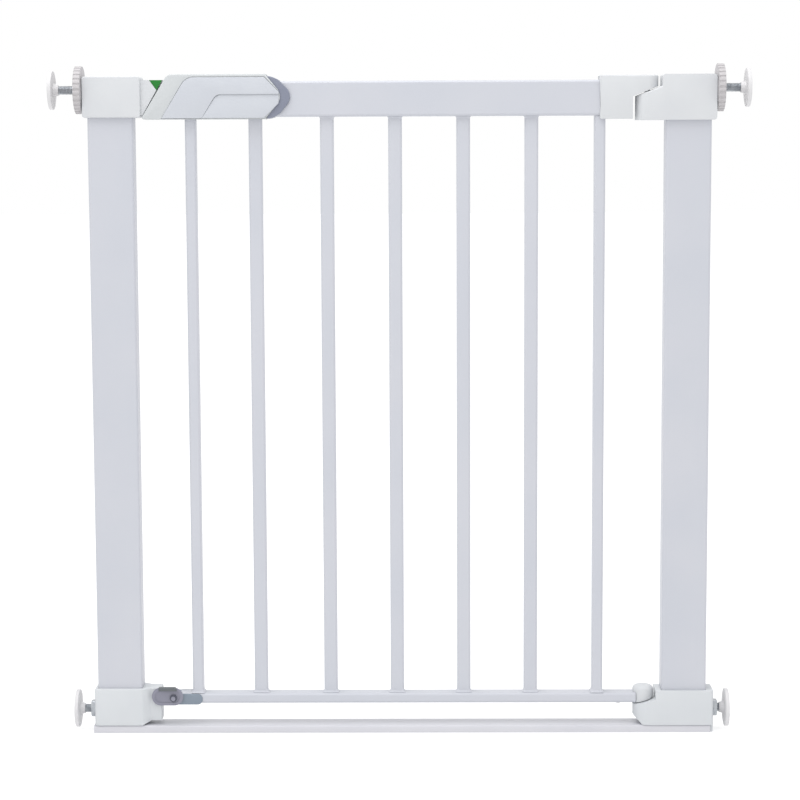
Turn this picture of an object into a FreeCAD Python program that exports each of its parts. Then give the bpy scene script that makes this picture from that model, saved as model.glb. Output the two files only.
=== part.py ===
import FreeCAD, Part
import math
import os
import re
import Sketcher

# A pressure-fit stair gate with a slide latch, in millimetres.
# X runs from the latch post to the hinge post, +Y from the front to the back, +Z up.
# The origin is on the floor, midway between the walls.

# Driving sizes, one row each: name, value, what it measures.
SIZES = (
    ("post_span", 630, "between the centre lines of the two posts"),
    ("cap_top", 729.3, "top of the end caps above the floor"),
    ("post_wide", 50, "post, across the gate"),
    ("post_deep", 25, "post, front to back"),
    ("tube_wall", 1.5, "wall of the posts and rails"),
    ("post_drop", 7.3, "end of a post below the top of its cap"),
    ("cap_deep", 34, "end caps and bottom fittings, front to back"),
    ("cap_side", 5, "end cap beyond the outer face of its post"),
    ("strike_wall", 8.5, "left cap beyond the inner face of its post"),
    ("left_cap_high", 44.7, "left cap"),
    ("right_cap_high", 49.5, "right cap"),
    ("seat_gap", 0.1, "round a tube or screw seated in its own body"),
    ("run_gap", 0.3, "round a piece that turns or slides"),
    ("strip_high", 8.5, "floor strip"),
    ("strip_deep", 32, "floor strip, front to back"),
    ("strip_wall", 2, "floor strip"),
    ("strip_bevel", 2.55, "bevel along the top of the floor strip"),
    ("grip_wide", 40, "rubber grip under the strip, inboard of a post"),
    ("grip_inset", 5, "rubber grip short of the outer face of a post"),
    ("past", 1, "cut beyond the face that it opens"),
    ("left_fit_high", 50.4, "top of the left bottom fitting"),
    ("right_fit_high", 47.5, "top of the right bottom fitting"),
    ("fit_side", 3.5, "left bottom fitting beyond its post"),
    ("catch_reach", 23.4, "catch block beyond the inner face of its post"),
    ("catch_deep", 20, "catch block, front to back"),
    ("taper_reach", 9, "length of the taper from fitting to catch"),
    ("end_lip", 3, "right bottom fitting over the end of the strip"),
    ("hinge_set", 19.5, "hinge axis inboard of the right post"),
    ("hinge_drop", 18, "upper hinge slope at the axis, below the cap top"),
    ("hinge_slope", 0.39, "rise over run of the upper hinge"),
    ("hinge_round", 12, "radius of the door cover round the hinge"),
    ("lobe_round", 13.2, "radius of the cap lobe under the door cover"),
    ("lobe_gap", 3.1, "between the lobe and the cover beside it"),
    ("face_gap", 0.5, "between the two slopes of a closed hinge"),
    ("cover_gap", 3.2, "between the door cover and the right cap"),
    ("low_hinge_high", 33.4, "lower hinge slope at the axis, above the floor"),
    ("low_slope", 0.288, "rise over run of the lower hinge"),
    ("low_round", 11.6, "radius of the lower door cap"),
    ("low_gap", 1.6, "between the lower door cap and the fitting"),
    ("low_cap_high", 51, "top of the lower door cap above the floor"),
    ("pin_round", 3, "radius of a hinge pin"),
    ("pin_seat", 6, "foot of a hinge pin above the underside of its seat"),
    ("cover_skin", 2, "roof of the upper hinge cover over its pin"),
    ("low_cap_skin", 3.5, "roof of the lower door cap over its pin"),
    ("bush_wall", 1.5, "hinge bush"),
    ("bush_long", 9, "hinge bush"),
    ("bush_lift", 2, "hinge bush above the hinge slope at the axis"),
    ("rail_drop", 5.7, "top rail below the cap top"),
    ("rail_high", 38.7, "top rail"),
    ("rail_deep", 20, "both rails, front to back"),
    ("rail_tuck", 4, "right end of the top rail short of the hinge step"),
    ("low_rail_at", 32.4, "underside of the bottom rail above the floor"),
    ("low_rail_high", 11.2, "bottom rail"),
    ("low_tuck", 3.1, "bottom rail inside the lower door cap"),
    ("bar_wide", 15, "bar, across the gate"),
    ("bar_deep", 10, "bar, front to back"),
    ("bar_wall", 1, "bars and stiles"),
    ("stile_wide", 12, "end stile, across the gate"),
    ("stile_deep", 16, "end stile, front to back"),
    ("hinge_stile_set", 51.7, "last stile inboard of the hinge axis"),
    ("latch_stile_set", 61.8, "first stile inboard of the left post"),
    ("first_bar_shift", 3.7, "first bar from its even place, to the latch"),
    ("cover_left", 52.3, "left end of the hinge cover from the axis"),
    ("cover_drop", 0.5, "hinge cover top below the cap top"),
    ("cover_under", 3.6, "hinge cover below the top rail"),
    ("shell_rise", 1.9, "latch shell top above the cap top"),
    ("shell_under", 2.3, "latch shell below the top rail"),
    ("shell_deep", 31, "latch shells together, front to back"),
    ("shell_wall", 1.6, "latch shells"),
    ("nose_set", 40.4, "latch nose, at its top, from the left post"),
    ("nose_slope", 0.631, "run over rise of the latch nose"),
    ("shell_long", 104, "top edge of the latch shell"),
    ("tip_long", 16, "pointed end of the latch shell"),
    ("tip_high", 10, "blunt end of the latch shell"),
    ("panel_thick", 0.8, "panel on a latch shell"),
    ("panel_set", 8.5, "panel seam from the nose edge"),
    ("panel_margin", 3.2, "panel from the top of the shell"),
    ("panel_edge", 1, "panels from the underside and the tip of the shell"),
    ("crease_drop", 21.8, "lower grip below the top of the shell"),
    ("grip_set", 44, "slanted end of the lower grip from the panel seam"),
    ("strike_drop", 4.1, "strike block below the cap top"),
    ("strike_high", 38, "strike block"),
    ("strike_top_long", 23.9, "top edge of the strike block"),
    ("strike_slope", 0.573, "run over rise of the strike face"),
    ("strike_deep", 26, "strike block, front to back"),
    ("skin", 1.4, "front and back walls of the strike block"),
    ("flag_thick", 1.8, "flag plate"),
    ("flag_wide", 14.2, "top edge of the flag"),
    ("flag_high", 11, "flag"),
    ("flag_travel", 9, "flag along the strike face"),
    ("flag_bar", 4, "square bar that joins the two flag plates"),
    ("flag_tail", 1.5, "from the flag's lowest corner down to its bar"),
    ("tile_thick", 1, "red tile behind the flag"),
    ("tile_margin", 1.5, "tile from the edges of the flag"),
    ("bolt_rise", 11, "bolt above the bottom of the latch shell, at its centre"),
    ("bolt_high", 9, "bolt"),
    ("bolt_deep", 9, "bolt, front to back"),
    ("bolt_reach", 7.2, "bolt beyond the nose at its centre height"),
    ("bolt_gap", 0.6, "round the bolt in the strike pocket"),
    ("bolt_chamfer", 1.5, "slant on the front of the bolt nose"),
    ("slide_travel", 8, "thumb slide and bolt"),
    ("leg_thick", 2.8, "leg that joins bolt and link"),
    ("leg_set", 1.2, "leg from the inner face of the nose"),
    ("link_thick", 4, "link bar over the rail"),
    ("link_deep", 13, "link bar, front to back"),
    ("spring_long", 24, "latch spring at rest"),
    ("spring_round", 2, "radius of the latch spring"),
    ("slide_wall", 2.6, "thumb slide beside the rail"),
    ("slide_show", 11, "thumb slide seen beyond the latch shell"),
    ("slide_tuck", 14, "thumb slide hidden under the latch shell"),
    ("slide_neck", 2, "step in the thumb slide beyond the top edge of the shell"),
    ("slide_lift", 0.4, "thumb slide above the underside of the shell"),
    ("plug_thick", 1.2, "flange of the rail end plug"),
    ("plug_long", 12, "rail end plug inside the rail"),
    ("lever_set", 34.7, "stop lever pivot inboard of the left post"),
    ("lever_at", 39.6, "stop lever pivot above the floor"),
    ("lever_reach", 12.4, "centre of the lever nose from its pivot"),
    ("lever_round", 10.4, "radius of the lever nose"),
    ("lever_taper", 1, "pivot end of the lever under its nose, in radius"),
    ("lever_thick", 3, "lever cheek"),
    ("ledge_high", 2, "thumb ledge"),
    ("ledge_deep", 6, "thumb ledge, front to back"),
    ("ledge_over", 4, "thumb ledge beyond the centres of nose and pivot"),
    ("ear_long", 7.3, "ear of the stop bracket inboard of the pivot"),
    ("ear_gap", 2, "ear of the stop bracket from the catch block"),
    ("bracket_long", 25, "stop bracket on the bottom rail"),
    ("bracket_wall", 1.2, "stop bracket"),
    ("screw_round", 2, "radius of a screw shank"),
    ("head_round", 4, "radius of a screw head"),
    ("head_thick", 2, "screw head"),
    ("screw_long", 8, "screw under its head"),
    ("cap_screw_rise", 10, "cap screws above the underside of the top rail"),
    ("fit_screw_rise", 4, "fitting screws above the underside of the bottom rail"),
    ("latch_screw_set", 20, "first latch screw inboard of the latch stile"),
    ("latch_screw_pitch", 36, "between the latch screws"),
    ("latch_screw_drop", 8, "latch screws below the top of the rail"),
    ("rod_drop", 14.5, "top spindles below the cap top"),
    ("low_rod_at", 25, "bottom spindles above the floor"),
    ("rod_round", 5, "radius of a spindle"),
    ("rod_long", 70, "top spindle"),
    ("low_rod_long", 66, "bottom spindle"),
    ("pad_reach", 37, "face of a top pad beyond the end cap"),
    ("low_pad_reach", 21, "face of a bottom pad beyond the end cap"),
    ("pad_round", 21, "radius of a pad"),
    ("pad_thick", 3, "pad at its rim"),
    ("hub_round", 9, "radius of a pad hub"),
    ("hub_long", 7, "pad hub"),
    ("wheel_round", 26, "radius of a handwheel"),
    ("wheel_thick", 8.5, "handwheel"),
    ("wheel_gap", 0.5, "between a handwheel or nut and its seat"),
    ("nut_flats", 17, "hex nut across its flats"),
    ("nut_thick", 5, "thin hex nut"),
    ("bump_round", 4, "radius of the closing bump"),
    ("bump_high", 1.6, "closing bump below the bottom rail"),
    ("corner_round", 3, "corners of the caps and fittings"),
    ("edge_round", 1.2, "outer edges of the caps and fittings"),
)

# Sizes and places that follow from the driving sizes.
FORMULAS = {
    "post_x": "post_span / 2",
    "post_in": "post_x - post_wide / 2",
    "post_out": "post_x + post_wide / 2",
    "post_top": "cap_top - post_drop",
    "cap_out": "post_out + cap_side",
    "strike_x": "strike_wall - post_in",
    "fit_out": "post_out + fit_side",
    "catch_x": "catch_reach - post_in",
    "hinge_x": "post_in - hinge_set",
    "hinge_z": "cap_top - hinge_drop",
    "cap_face": "hinge_x + hinge_round + cover_gap",
    "low_face": "hinge_x + low_round + low_gap",
    "bore_round": "pin_round + bush_wall + 2 * run_gap",
    "rail_top": "cap_top - rail_drop",
    "rail_low": "rail_top - rail_high",
    "low_rail_top": "low_rail_at + low_rail_high",
    "stile_a": "latch_stile_set - post_in",
    "stile_b": "hinge_x - hinge_stile_set",
    "rail_left": "stile_a - stile_wide / 2 - seat_gap",
    "rail_right": "hinge_x - lobe_round - lobe_gap - rail_tuck",
    "cover_x": "hinge_x - cover_left",
    "cover_top": "cap_top - cover_drop",
    "cover_low": "rail_low - cover_under",
    "shell_top": "cap_top + shell_rise",
    "shell_low": "rail_low - shell_under",
    "shell_high": "shell_top - shell_low",
    "shell_half": "shell_deep / 2",
    "nose_x": "nose_set - post_in",
    "shell_end": "nose_x + shell_long",
    "tip_x": "shell_end + tip_long",
    "mid_z": "(shell_top + shell_low) / 2",
    "crease_z": "shell_top - crease_drop",
    "strike_top": "cap_top - strike_drop",
    "strike_low": "strike_top - strike_high",
    "corner_x": "strike_x + strike_top_long",
    "strike_half": "strike_deep / 2",
    "slant": "sqrt(1 + strike_slope * strike_slope)",
    "drop_x": "flag_travel * strike_slope / slant",
    "drop_z": "flag_travel / slant",
    "slot_deep": "skin + flag_thick + 2 * run_gap",
    "flag_left": "corner_x - flag_wide",
    "flag_low": "strike_top - flag_high",
    "bar_right": "flag_left + flag_bar",
    "bar_top": "flag_low - flag_tail",
    "bar_low": "bar_top - flag_bar",
    "bolt_z": "shell_low + bolt_rise",
    "bolt_drop": "shell_high - bolt_rise",
    "bolt_tip": "nose_x - nose_slope * bolt_drop - bolt_reach",
    "leg_x": "nose_x + leg_set + shell_wall",
    "slide_end": "tip_x + slide_show",
    "slide_top": "shell_top - shell_wall - run_gap * 2",
    "link_low": "rail_top + run_gap",
    "link_top": "link_low + link_thick",
    "spring_end": "spring_start + spring_long",
    "spring_start": "stile_a + stile_wide * 2",
    "lever_x": "lever_set - post_in",
    "lever_back": "-(rail_deep / 2 + bracket_wall + run_gap)",
    "lever_front": "lever_back - lever_thick",
    "slope_long": "sqrt(1 + nose_slope * nose_slope)",
    "low_rail_left": "lever_x + ear_long",
    "low_rail_right": "hinge_x - low_round + low_tuck",
    "rod_at": "cap_top - rod_drop",
    "first_bar": "stile_a + (stile_b - stile_a) / 6 - first_bar_shift",
}

# Any size will do to draw an outline with: the sheet then sets the real ones.
FIRST_GUESS = 5.0

WORDS = re.compile(r"[a-z][a-z_]+")
NAMES = {name for name, value, note in SIZES}

doc = FreeCAD.newDocument("StairGate")
sheet = doc.addObject("Spreadsheet::Sheet", "Sizes")
for row, (name, value, note) in enumerate(SIZES, 1):
    sheet.set("A%d" % row, note)
    sheet.set("B%d" % row, str(value))
    sheet.setAlias("B%d" % row, name)
doc.recompute()

subparts = []


def link(formula):
    """Write a formula with its names as cells of the sheet."""
    def cell(found):
        word = found.group()
        if word in NAMES:
            return "Sizes." + word
        if word in FORMULAS:
            return "(" + link(FORMULAS[word]) + ")"
        return word
    return WORDS.sub(cell, formula)


def new_body(name):
    body = doc.addObject("PartDesign::Body", name)
    body.Label = name
    subparts.append(body)
    return body


def sketch_on(body, plane, level):
    """An empty sketch on one of the body's own planes, lifted to a level."""
    sketch = body.newObject("Sketcher::SketchObject", body.Name + "_outline")
    origin = [item for item in body.Origin.OriginFeatures if item.Role == plane][0]
    sketch.AttachmentSupport = (origin, [""])
    sketch.MapMode = "FlatFace"
    if plane == "XZ_Plane":
        level = "-(" + level + ")"
    sketch.setExpression("AttachmentOffset.Base.z", link(level))
    return sketch


def measure(sketch, kind, geometry, point, formula):
    number = sketch.addConstraint(Sketcher.Constraint(kind, -1, 1, geometry, point, FIRST_GUESS))
    sketch.setExpression("Constraints[%d]" % number, link(formula))


def grow(body, sketch, low, high, cut):
    """Pad or pocket a sketch evenly to both sides, from low to high."""
    kind = "PartDesign::Pocket" if cut else "PartDesign::Pad"
    feature = body.newObject(kind, body.Name + ("_cut" if cut else "_pad"))
    feature.Profile = sketch
    feature.SideType = "Symmetric"
    feature.setExpression("Length", link("(%s) - (%s)" % (high, low)))
    sketch.Visibility = False


def prism(body, plane, points, low, high, cut=False):
    """A straight-sided block whose corners are given by formulas."""
    sketch = sketch_on(body, plane, "((%s) + (%s)) / 2" % (low, high))
    count = len(points)
    turn = 2 * math.pi / count
    ring = [FreeCAD.Vector(math.cos(i * turn), math.sin(i * turn), 0) * FIRST_GUESS
            for i in range(count)]
    for i in range(count):
        sketch.addGeometry(Part.LineSegment(ring[i], ring[(i + 1) % count]))
    for i in range(count):
        sketch.addConstraint(Sketcher.Constraint("Coincident", i, 2, (i + 1) % count, 1))
    for i, (across, up) in enumerate(points):
        measure(sketch, "DistanceX", i, 1, across)
        measure(sketch, "DistanceY", i, 1, up)
    grow(body, sketch, low, high, cut)
    return sketch


def disc(body, plane, centre, radius, low, high, cut=False):
    """A round bar or bore."""
    sketch = sketch_on(body, plane, "((%s) + (%s)) / 2" % (low, high))
    circle = Part.Circle(FreeCAD.Vector(1, 1, 0), FreeCAD.Vector(0, 0, 1), FIRST_GUESS)
    sketch.addGeometry(circle)
    measure(sketch, "DistanceX", 0, 3, centre[0])
    measure(sketch, "DistanceY", 0, 3, centre[1])
    number = sketch.addConstraint(Sketcher.Constraint("Radius", 0, FIRST_GUESS))
    sketch.setExpression("Constraints[%d]" % number, link(radius))
    grow(body, sketch, low, high, cut)


def corners(left, right, low, high):
    return [(left, low), (right, low), (right, high), (left, high)]


def block(body, x_span, y_span, z_span, cut=False):
    return prism(body, "XY_Plane", corners(*x_span, *y_span), *z_span, cut)


def both_ways(half):
    return ("-(%s)" % half, half)


def on_side(side, near, far):
    """The span from near to far, counted outwards on the left (-1) or right (1)."""
    if side > 0:
        return (near, far)
    return ("-(%s)" % far, "-(%s)" % near)


def round_corners(body, sketch, which, radius):
    """Round the numbered corners of an outline, all along the block."""
    doc.recompute()
    base = body.Tip
    normal = sketch.Placement.Rotation.multVec(FreeCAD.Vector(0, 0, 1))
    spots = [sketch.Placement.multVec(sketch.Geometry[i].StartPoint) for i in which]
    chosen = []
    for number, edge in enumerate(base.Shape.Edges, 1):
        start, end = edge.Vertexes[0].Point, edge.Vertexes[-1].Point
        if (end - start).Length < 1e-6 or (end - start).cross(normal).Length > 1e-5:
            continue
        if any((start - spot).cross(normal).Length < 1e-3 for spot in spots):
            chosen.append("Edge%d" % number)
    fillet = body.newObject("PartDesign::Fillet", body.Name + "_round")
    fillet.Base = (base, chosen)
    fillet.setExpression("Radius", link(radius))


def round_rims(body, axis, radius):
    """Round the edges of the two end faces along an axis (0 X, 1 Y, 2 Z)."""
    doc.recompute()
    base = body.Tip
    box = base.Shape.BoundBox
    ends = ((box.XMin, box.XMax), (box.YMin, box.YMax), (box.ZMin, box.ZMax))[axis]
    chosen = []
    for number, edge in enumerate(base.Shape.Edges, 1):
        spots = [vertex.Point[axis] for vertex in edge.Vertexes] + [edge.CenterOfMass[axis]]
        if any(max(abs(spot - end) for spot in spots) < 1e-4 for end in ends):
            chosen.append("Edge%d" % number)
    fillet = body.newObject("PartDesign::Fillet", body.Name + "_rim")
    fillet.Base = (base, chosen)
    fillet.setExpression("Radius", link(radius))


def slope(x, height, incline, gap):
    """Height of a hinge slope at x."""
    return "%s + %s * ((%s) - hinge_x) + %s" % (height, incline, x, gap)


def post_hole(body, side, deep, clearance):
    """The socket or shadow of a post in a cap or fitting."""
    x_span = on_side(side, "post_in - " + clearance, "post_out + " + clearance)
    block(body, x_span, both_ways("post_deep / 2 + " + clearance), deep, True)


def rod_bore(body, side, height):
    """Clearance for a spindle through an outer wall."""
    x_span = on_side(side, "post_x", "cap_out * 2")
    disc(body, "YZ_Plane", ("0", height), "rod_round + run_gap", *x_span, True)


def screw_bores(body, places):
    """Holes for screws driven in from the back."""
    for x, z, face in places:
        disc(body, "XZ_Plane", (x, z), "screw_round + seat_gap",
             "(%s) - screw_long - past" % face, "(%s) + past" % face, True)


# Screws, one row each: place across, place up, and the face under the head.
CAP_SCREWS = [("-post_x", "rail_low + cap_screw_rise", "cap_deep / 2"),
              ("post_x", "rail_low + cap_screw_rise", "cap_deep / 2")]
FITTING_SCREWS = [("-post_x", "low_rail_at + fit_screw_rise", "cap_deep / 2"),
                  ("post_x", "low_rail_at + fit_screw_rise", "cap_deep / 2")]
LATCH_SCREWS = [("stile_a + latch_screw_set + latch_screw_pitch * %d" % number,
                 "rail_top - latch_screw_drop", "shell_half + panel_thick") for number in (0, 1)]

# Uprights that pass under the latch shell: centre, width, depth.
UNDER_SHELL = (("stile_a", "stile_wide", "stile_deep"),
               ("(first_bar)", "bar_wide", "bar_deep"))


def post(name, side):
    body = new_body(name)
    x_span = on_side(side, "post_in", "post_out")
    inside = on_side(side, "post_in + tube_wall", "post_out - tube_wall")
    z_span = ("strip_high", "post_top")
    outline = block(body, x_span, both_ways("post_deep / 2"), z_span)
    round_corners(body, outline, range(4), "corner_round")
    block(body, inside, both_ways("post_deep / 2 - tube_wall"),
          ("strip_high - past", "post_top + past"), True)
    rod_bore(body, side, "rod_at")
    rod_bore(body, side, "low_rod_at")
    screw_bores(body, [spot for spot in CAP_SCREWS + FITTING_SCREWS
                       if spot[0].startswith("-") == (side < 0)])


def floor_strip():
    body = new_body("floor_strip")
    half = "strip_deep / 2"
    outline = [("-(%s)" % half, "0"), (half, "0"), (half, "strip_high - strip_bevel"),
               (half + " - strip_bevel", "strip_high"), ("strip_bevel - " + half, "strip_high"),
               ("-(%s)" % half, "strip_high - strip_bevel")]
    prism(body, "YZ_Plane", outline, "-cap_out", "cap_out")
    block(body, both_ways("cap_out + past"), both_ways(half + " - strip_wall"),
          ("-past", "strip_high - strip_wall"), True)


def strip_grips():
    body = new_body("strip_grips")
    for side in (-1, 1):
        block(body, on_side(side, "post_in - grip_wide", "post_out - grip_inset"),
              both_ways("strip_deep / 2 - strip_wall - seat_gap"),
              ("0", "strip_high - strip_wall"))


def left_top_cap():
    body = new_body("left_top_cap")
    z_span = ("cap_top - left_cap_high", "cap_top")
    outline = prism(body, "XZ_Plane", corners("-cap_out", "strike_x", *z_span),
                    *both_ways("cap_deep / 2"))
    round_corners(body, outline, range(4), "corner_round")
    round_rims(body, 1, "edge_round")
    post_hole(body, -1, ("cap_top - left_cap_high - past", "post_top"), "seat_gap")
    rod_bore(body, -1, "rod_at")
    screw_bores(body, CAP_SCREWS[:1])


def right_top_cap():
    body = new_body("right_top_cap")
    low = "cap_top - right_cap_high"
    outline = prism(body, "XZ_Plane", corners("cap_face", "cap_out", low, "cap_top"),
                    *both_ways("cap_deep / 2"))
    round_corners(body, outline, range(4), "corner_round")
    round_rims(body, 1, "edge_round")
    peak = "hinge_z + hinge_slope * (lobe_round + cover_gap)"
    disc(body, "XY_Plane", ("hinge_x", "0"), "lobe_round", low, peak)
    block(body, ("hinge_x", "cap_face + corner_round"), both_ways("lobe_round"), (low, peak))
    left = "hinge_x - lobe_round - past"
    above = [(left, slope(left, "hinge_z", "hinge_slope", "0")),
             ("cap_face", slope("cap_face", "hinge_z", "hinge_slope", "0")),
             ("cap_face", "cap_top"), (left, "cap_top")]
    prism(body, "XZ_Plane", above, *both_ways("cap_deep"), True)
    post_hole(body, 1, (low + " - past", "post_top"), "seat_gap")
    rod_bore(body, 1, "rod_at")
    disc(body, "XY_Plane", ("hinge_x", "0"), "pin_round", low + " + pin_seat", "cap_top", True)
    screw_bores(body, CAP_SCREWS[1:])


def left_bottom_fitting():
    body = new_body("left_bottom_fitting")
    deep = "cap_deep / 2"
    narrow = "catch_deep / 2"
    shoulder = "-post_in"
    waist = "taper_reach - post_in"
    outline = [("-fit_out", "-(%s)" % deep), (shoulder, "-(%s)" % deep), (waist, "-(%s)" % narrow),
               ("catch_x", "-(%s)" % narrow), ("catch_x", narrow), (waist, narrow),
               (shoulder, deep), ("-fit_out", deep)]
    plan = prism(body, "XY_Plane", outline, "strip_high", "left_fit_high")
    round_corners(body, plan, (0, 7), "corner_round")
    post_hole(body, -1, ("0", "cap_top"), "seat_gap")
    rod_bore(body, -1, "low_rod_at")
    screw_bores(body, FITTING_SCREWS[:1])


def right_bottom_fitting():
    body = new_body("right_bottom_fitting")
    z_span = ("strip_high", "right_fit_high")
    plan = block(body, ("low_face", "cap_out + end_lip"), both_ways("cap_deep / 2"), z_span)
    round_corners(body, plan, (1, 2), "corner_round")
    block(body, ("cap_out + seat_gap", "cap_out + end_lip"), both_ways("cap_deep / 2 - corner_round"),
          ("0", "strip_high + end_lip"))
    peak = "low_hinge_high + low_slope * (low_round + low_gap)"
    disc(body, "XY_Plane", ("hinge_x", "0"), "low_round - run_gap", "strip_high", peak)
    block(body, ("hinge_x", "low_face + corner_round"), both_ways("low_round - run_gap"),
          ("strip_high", peak))
    left = "hinge_x - low_round - past"
    above = [(left, slope(left, "low_hinge_high", "low_slope", "0")),
             ("low_face", slope("low_face", "low_hinge_high", "low_slope", "0")),
             ("low_face", "cap_top"), (left, "cap_top")]
    prism(body, "XZ_Plane", above, *both_ways("cap_deep"), True)
    post_hole(body, 1, ("0", "cap_top"), "seat_gap")
    rod_bore(body, 1, "low_rod_at")
    disc(body, "XY_Plane", ("hinge_x", "0"), "pin_round", "strip_high + pin_seat", "cap_top", True)
    screw_bores(body, FITTING_SCREWS[1:])


def strike_face(down):
    """X of the strike's slanted face at a distance below its top."""
    return "corner_x - strike_slope * (%s)" % down


def strike_block():
    body = new_body("strike_block")
    outline = [("strike_x", "strike_low"), (strike_face("strike_high"), "strike_low"),
               ("corner_x", "strike_top"), ("strike_x", "strike_top")]
    prism(body, "XZ_Plane", outline, *both_ways("strike_half"))
    block(body, ("strike_x - past", "corner_x"), both_ways("bolt_deep / 2 + bolt_gap"),
          ("bolt_z - bolt_high / 2 - bolt_gap", "bolt_z + bolt_high / 2 + bolt_gap"), True)
    floor = "bar_low - drop_z - run_gap"
    channel = [("flag_left - run_gap", "strike_top + past"), ("corner_x + past", "strike_top + past"),
               ("corner_x + past", floor), ("strike_x + skin", floor),
               ("strike_x + skin", "strike_top - 2 * skin")]
    window = [("flag_left", "strike_top"), ("corner_x + past", "strike_top"),
              ("corner_x + past", "flag_low"), (strike_face("flag_high"), "flag_low")]
    for side in (-1, 1):
        prism(body, "XZ_Plane", channel,
              *on_side(side, "strike_half - slot_deep", "strike_half - skin"), True)
        prism(body, "XZ_Plane", window, *on_side(side, "strike_half - skin", "strike_half + past"), True)
        prism(body, "XZ_Plane", tile_outline(),
              *on_side(side, "strike_half - slot_deep - tile_thick", "strike_half - skin"), True)
    tunnel = [("flag_left - run_gap", "bar_top + run_gap"), ("bar_right + run_gap", "bar_top + run_gap"),
              ("bar_right + run_gap", "bar_low - run_gap"),
              ("bar_right - drop_x + run_gap", "bar_low - drop_z - run_gap"),
              ("flag_left - drop_x - run_gap", "bar_low - drop_z - run_gap"),
              ("flag_left - drop_x - run_gap", "bar_top - drop_z + run_gap")]
    prism(body, "XZ_Plane", tunnel, *both_ways("strike_half - skin - run_gap"), True)


def tile_outline():
    return [("flag_left + tile_margin", "strike_top - tile_margin"),
            ("corner_x - 3 * tile_margin", "strike_top - tile_margin"),
            (strike_face("flag_high") + " - tile_margin", "flag_low + 2 * tile_margin")]


def indicator_tiles():
    body = new_body("indicator_red_tiles")
    for side in (-1, 1):
        prism(body, "XZ_Plane", tile_outline(),
              *on_side(side, "strike_half - slot_deep - tile_thick", "strike_half - slot_deep"))


def indicator_flag():
    body = new_body("indicator_flag")
    outline = [("flag_left", "strike_top"), ("corner_x", "strike_top"),
               (strike_face("flag_high"), "flag_low"), ("bar_right", "bar_low"),
               ("flag_left", "bar_low")]
    outer = "strike_half - skin - run_gap"
    prism(body, "XZ_Plane", outline, *both_ways(outer))
    inside = outer + " - flag_thick"
    prism(body, "XZ_Plane", corners("flag_left - past", "corner_x + past", "bar_top", "strike_top + past"),
          *both_ways(inside), True)
    prism(body, "XZ_Plane", corners("bar_right", "corner_x + past", "bar_low - past", "bar_top + past"),
          *both_ways(inside), True)


def hinge_pin(name, low, high):
    disc(new_body(name), "XY_Plane", ("hinge_x", "0"), "pin_round", low, high)


def hinge_bush(name, low):
    body = new_body(name)
    disc(body, "XY_Plane", ("hinge_x", "0"), "pin_round + run_gap + bush_wall", low, low + " + bush_long")
    disc(body, "XY_Plane", ("hinge_x", "0"), "pin_round + run_gap", low + " - past",
         low + " + bush_long + past", True)


def rail(name, x_span, z_span):
    body = new_body(name)
    outline = prism(body, "YZ_Plane", corners(*both_ways("rail_deep / 2"), *z_span), *x_span)
    round_corners(body, outline, range(4), "corner_round")
    low, high = z_span
    prism(body, "YZ_Plane", corners(*both_ways("rail_deep / 2 - tube_wall"), low + " + tube_wall",
                                    high + " - tube_wall"),
          x_span[0] + " - past", x_span[1] + " + past", True)
    return body


def upright(name, centre, wide, deep):
    """A bar or stile that stands between the two rails."""
    body = new_body(name)
    z_span = ("low_rail_top", "rail_low")
    outline = block(body, ("%s - %s / 2" % (centre, wide), "%s + %s / 2" % (centre, wide)),
                    both_ways(deep + " / 2"), z_span)
    round_corners(body, outline, range(4), "corner_round")
    inside = "(%s / 2 - bar_wall)" % wide
    block(body, ("%s - %s" % (centre, inside), "%s + %s" % (centre, inside)),
          both_ways(deep + " / 2 - bar_wall"), ("low_rail_top - past", "rail_low + past"), True)


def bars():
    for number in range(1, 6):
        centre = "(stile_a + (stile_b - stile_a) * %d / 6)" % number
        if number == 1:
            centre = "(first_bar)"
        upright("bar_%d" % number, centre, "bar_wide", "bar_deep")


def upper_hinge_cover():
    body = new_body("upper_hinge_cover")
    z_span = ("cover_low", "cover_top")
    plan = block(body, ("cover_x", "hinge_x"), both_ways("hinge_round"), z_span)
    round_corners(body, plan, (0, 3), "edge_round")
    disc(body, "XY_Plane", ("hinge_x", "0"), "hinge_round", *z_span)
    step = "(hinge_x - lobe_round - lobe_gap)"
    right = "hinge_x + hinge_round + past"
    below = [(step, "cover_low - past"), (right, "cover_low - past"),
             (right, slope(right, "hinge_z", "hinge_slope", "face_gap")),
             (step, slope(step, "hinge_z", "hinge_slope", "face_gap"))]
    prism(body, "XZ_Plane", below, *both_ways("cap_deep"), True)
    block(body, ("cover_x - past", "rail_right + seat_gap"), both_ways("rail_deep / 2 + seat_gap"),
          ("rail_low - seat_gap", "rail_top + seat_gap"), True)
    block(body, ("cover_x - past", "stile_b + stile_wide / 2 + seat_gap"),
          both_ways("stile_deep / 2 + seat_gap"), ("cover_low - past", "rail_low + past"), True)
    disc(body, "XY_Plane", ("hinge_x", "0"), "bore_round", "cover_low", "cover_top - cover_skin", True)


def lower_hinge_cap():
    body = new_body("lower_hinge_cap")
    low = "low_hinge_high - low_slope * low_round - past"
    disc(body, "XY_Plane", ("hinge_x", "0"), "low_round", low, "low_cap_high")
    left = "hinge_x - low_round - past"
    right = "hinge_x + low_round + past"
    below = [(left, low + " - past"), (right, low + " - past"),
             (right, slope(right, "low_hinge_high", "low_slope", "face_gap")),
             (left, slope(left, "low_hinge_high", "low_slope", "face_gap"))]
    prism(body, "XZ_Plane", below, *both_ways("cap_deep"), True)
    block(body, (left, "low_rail_right + seat_gap"), both_ways("rail_deep / 2 + seat_gap"),
          ("low_rail_at - seat_gap", "low_rail_top + seat_gap"), True)
    disc(body, "XY_Plane", ("hinge_x", "0"), "bore_round", low, "low_cap_high - low_cap_skin", True)


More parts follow.
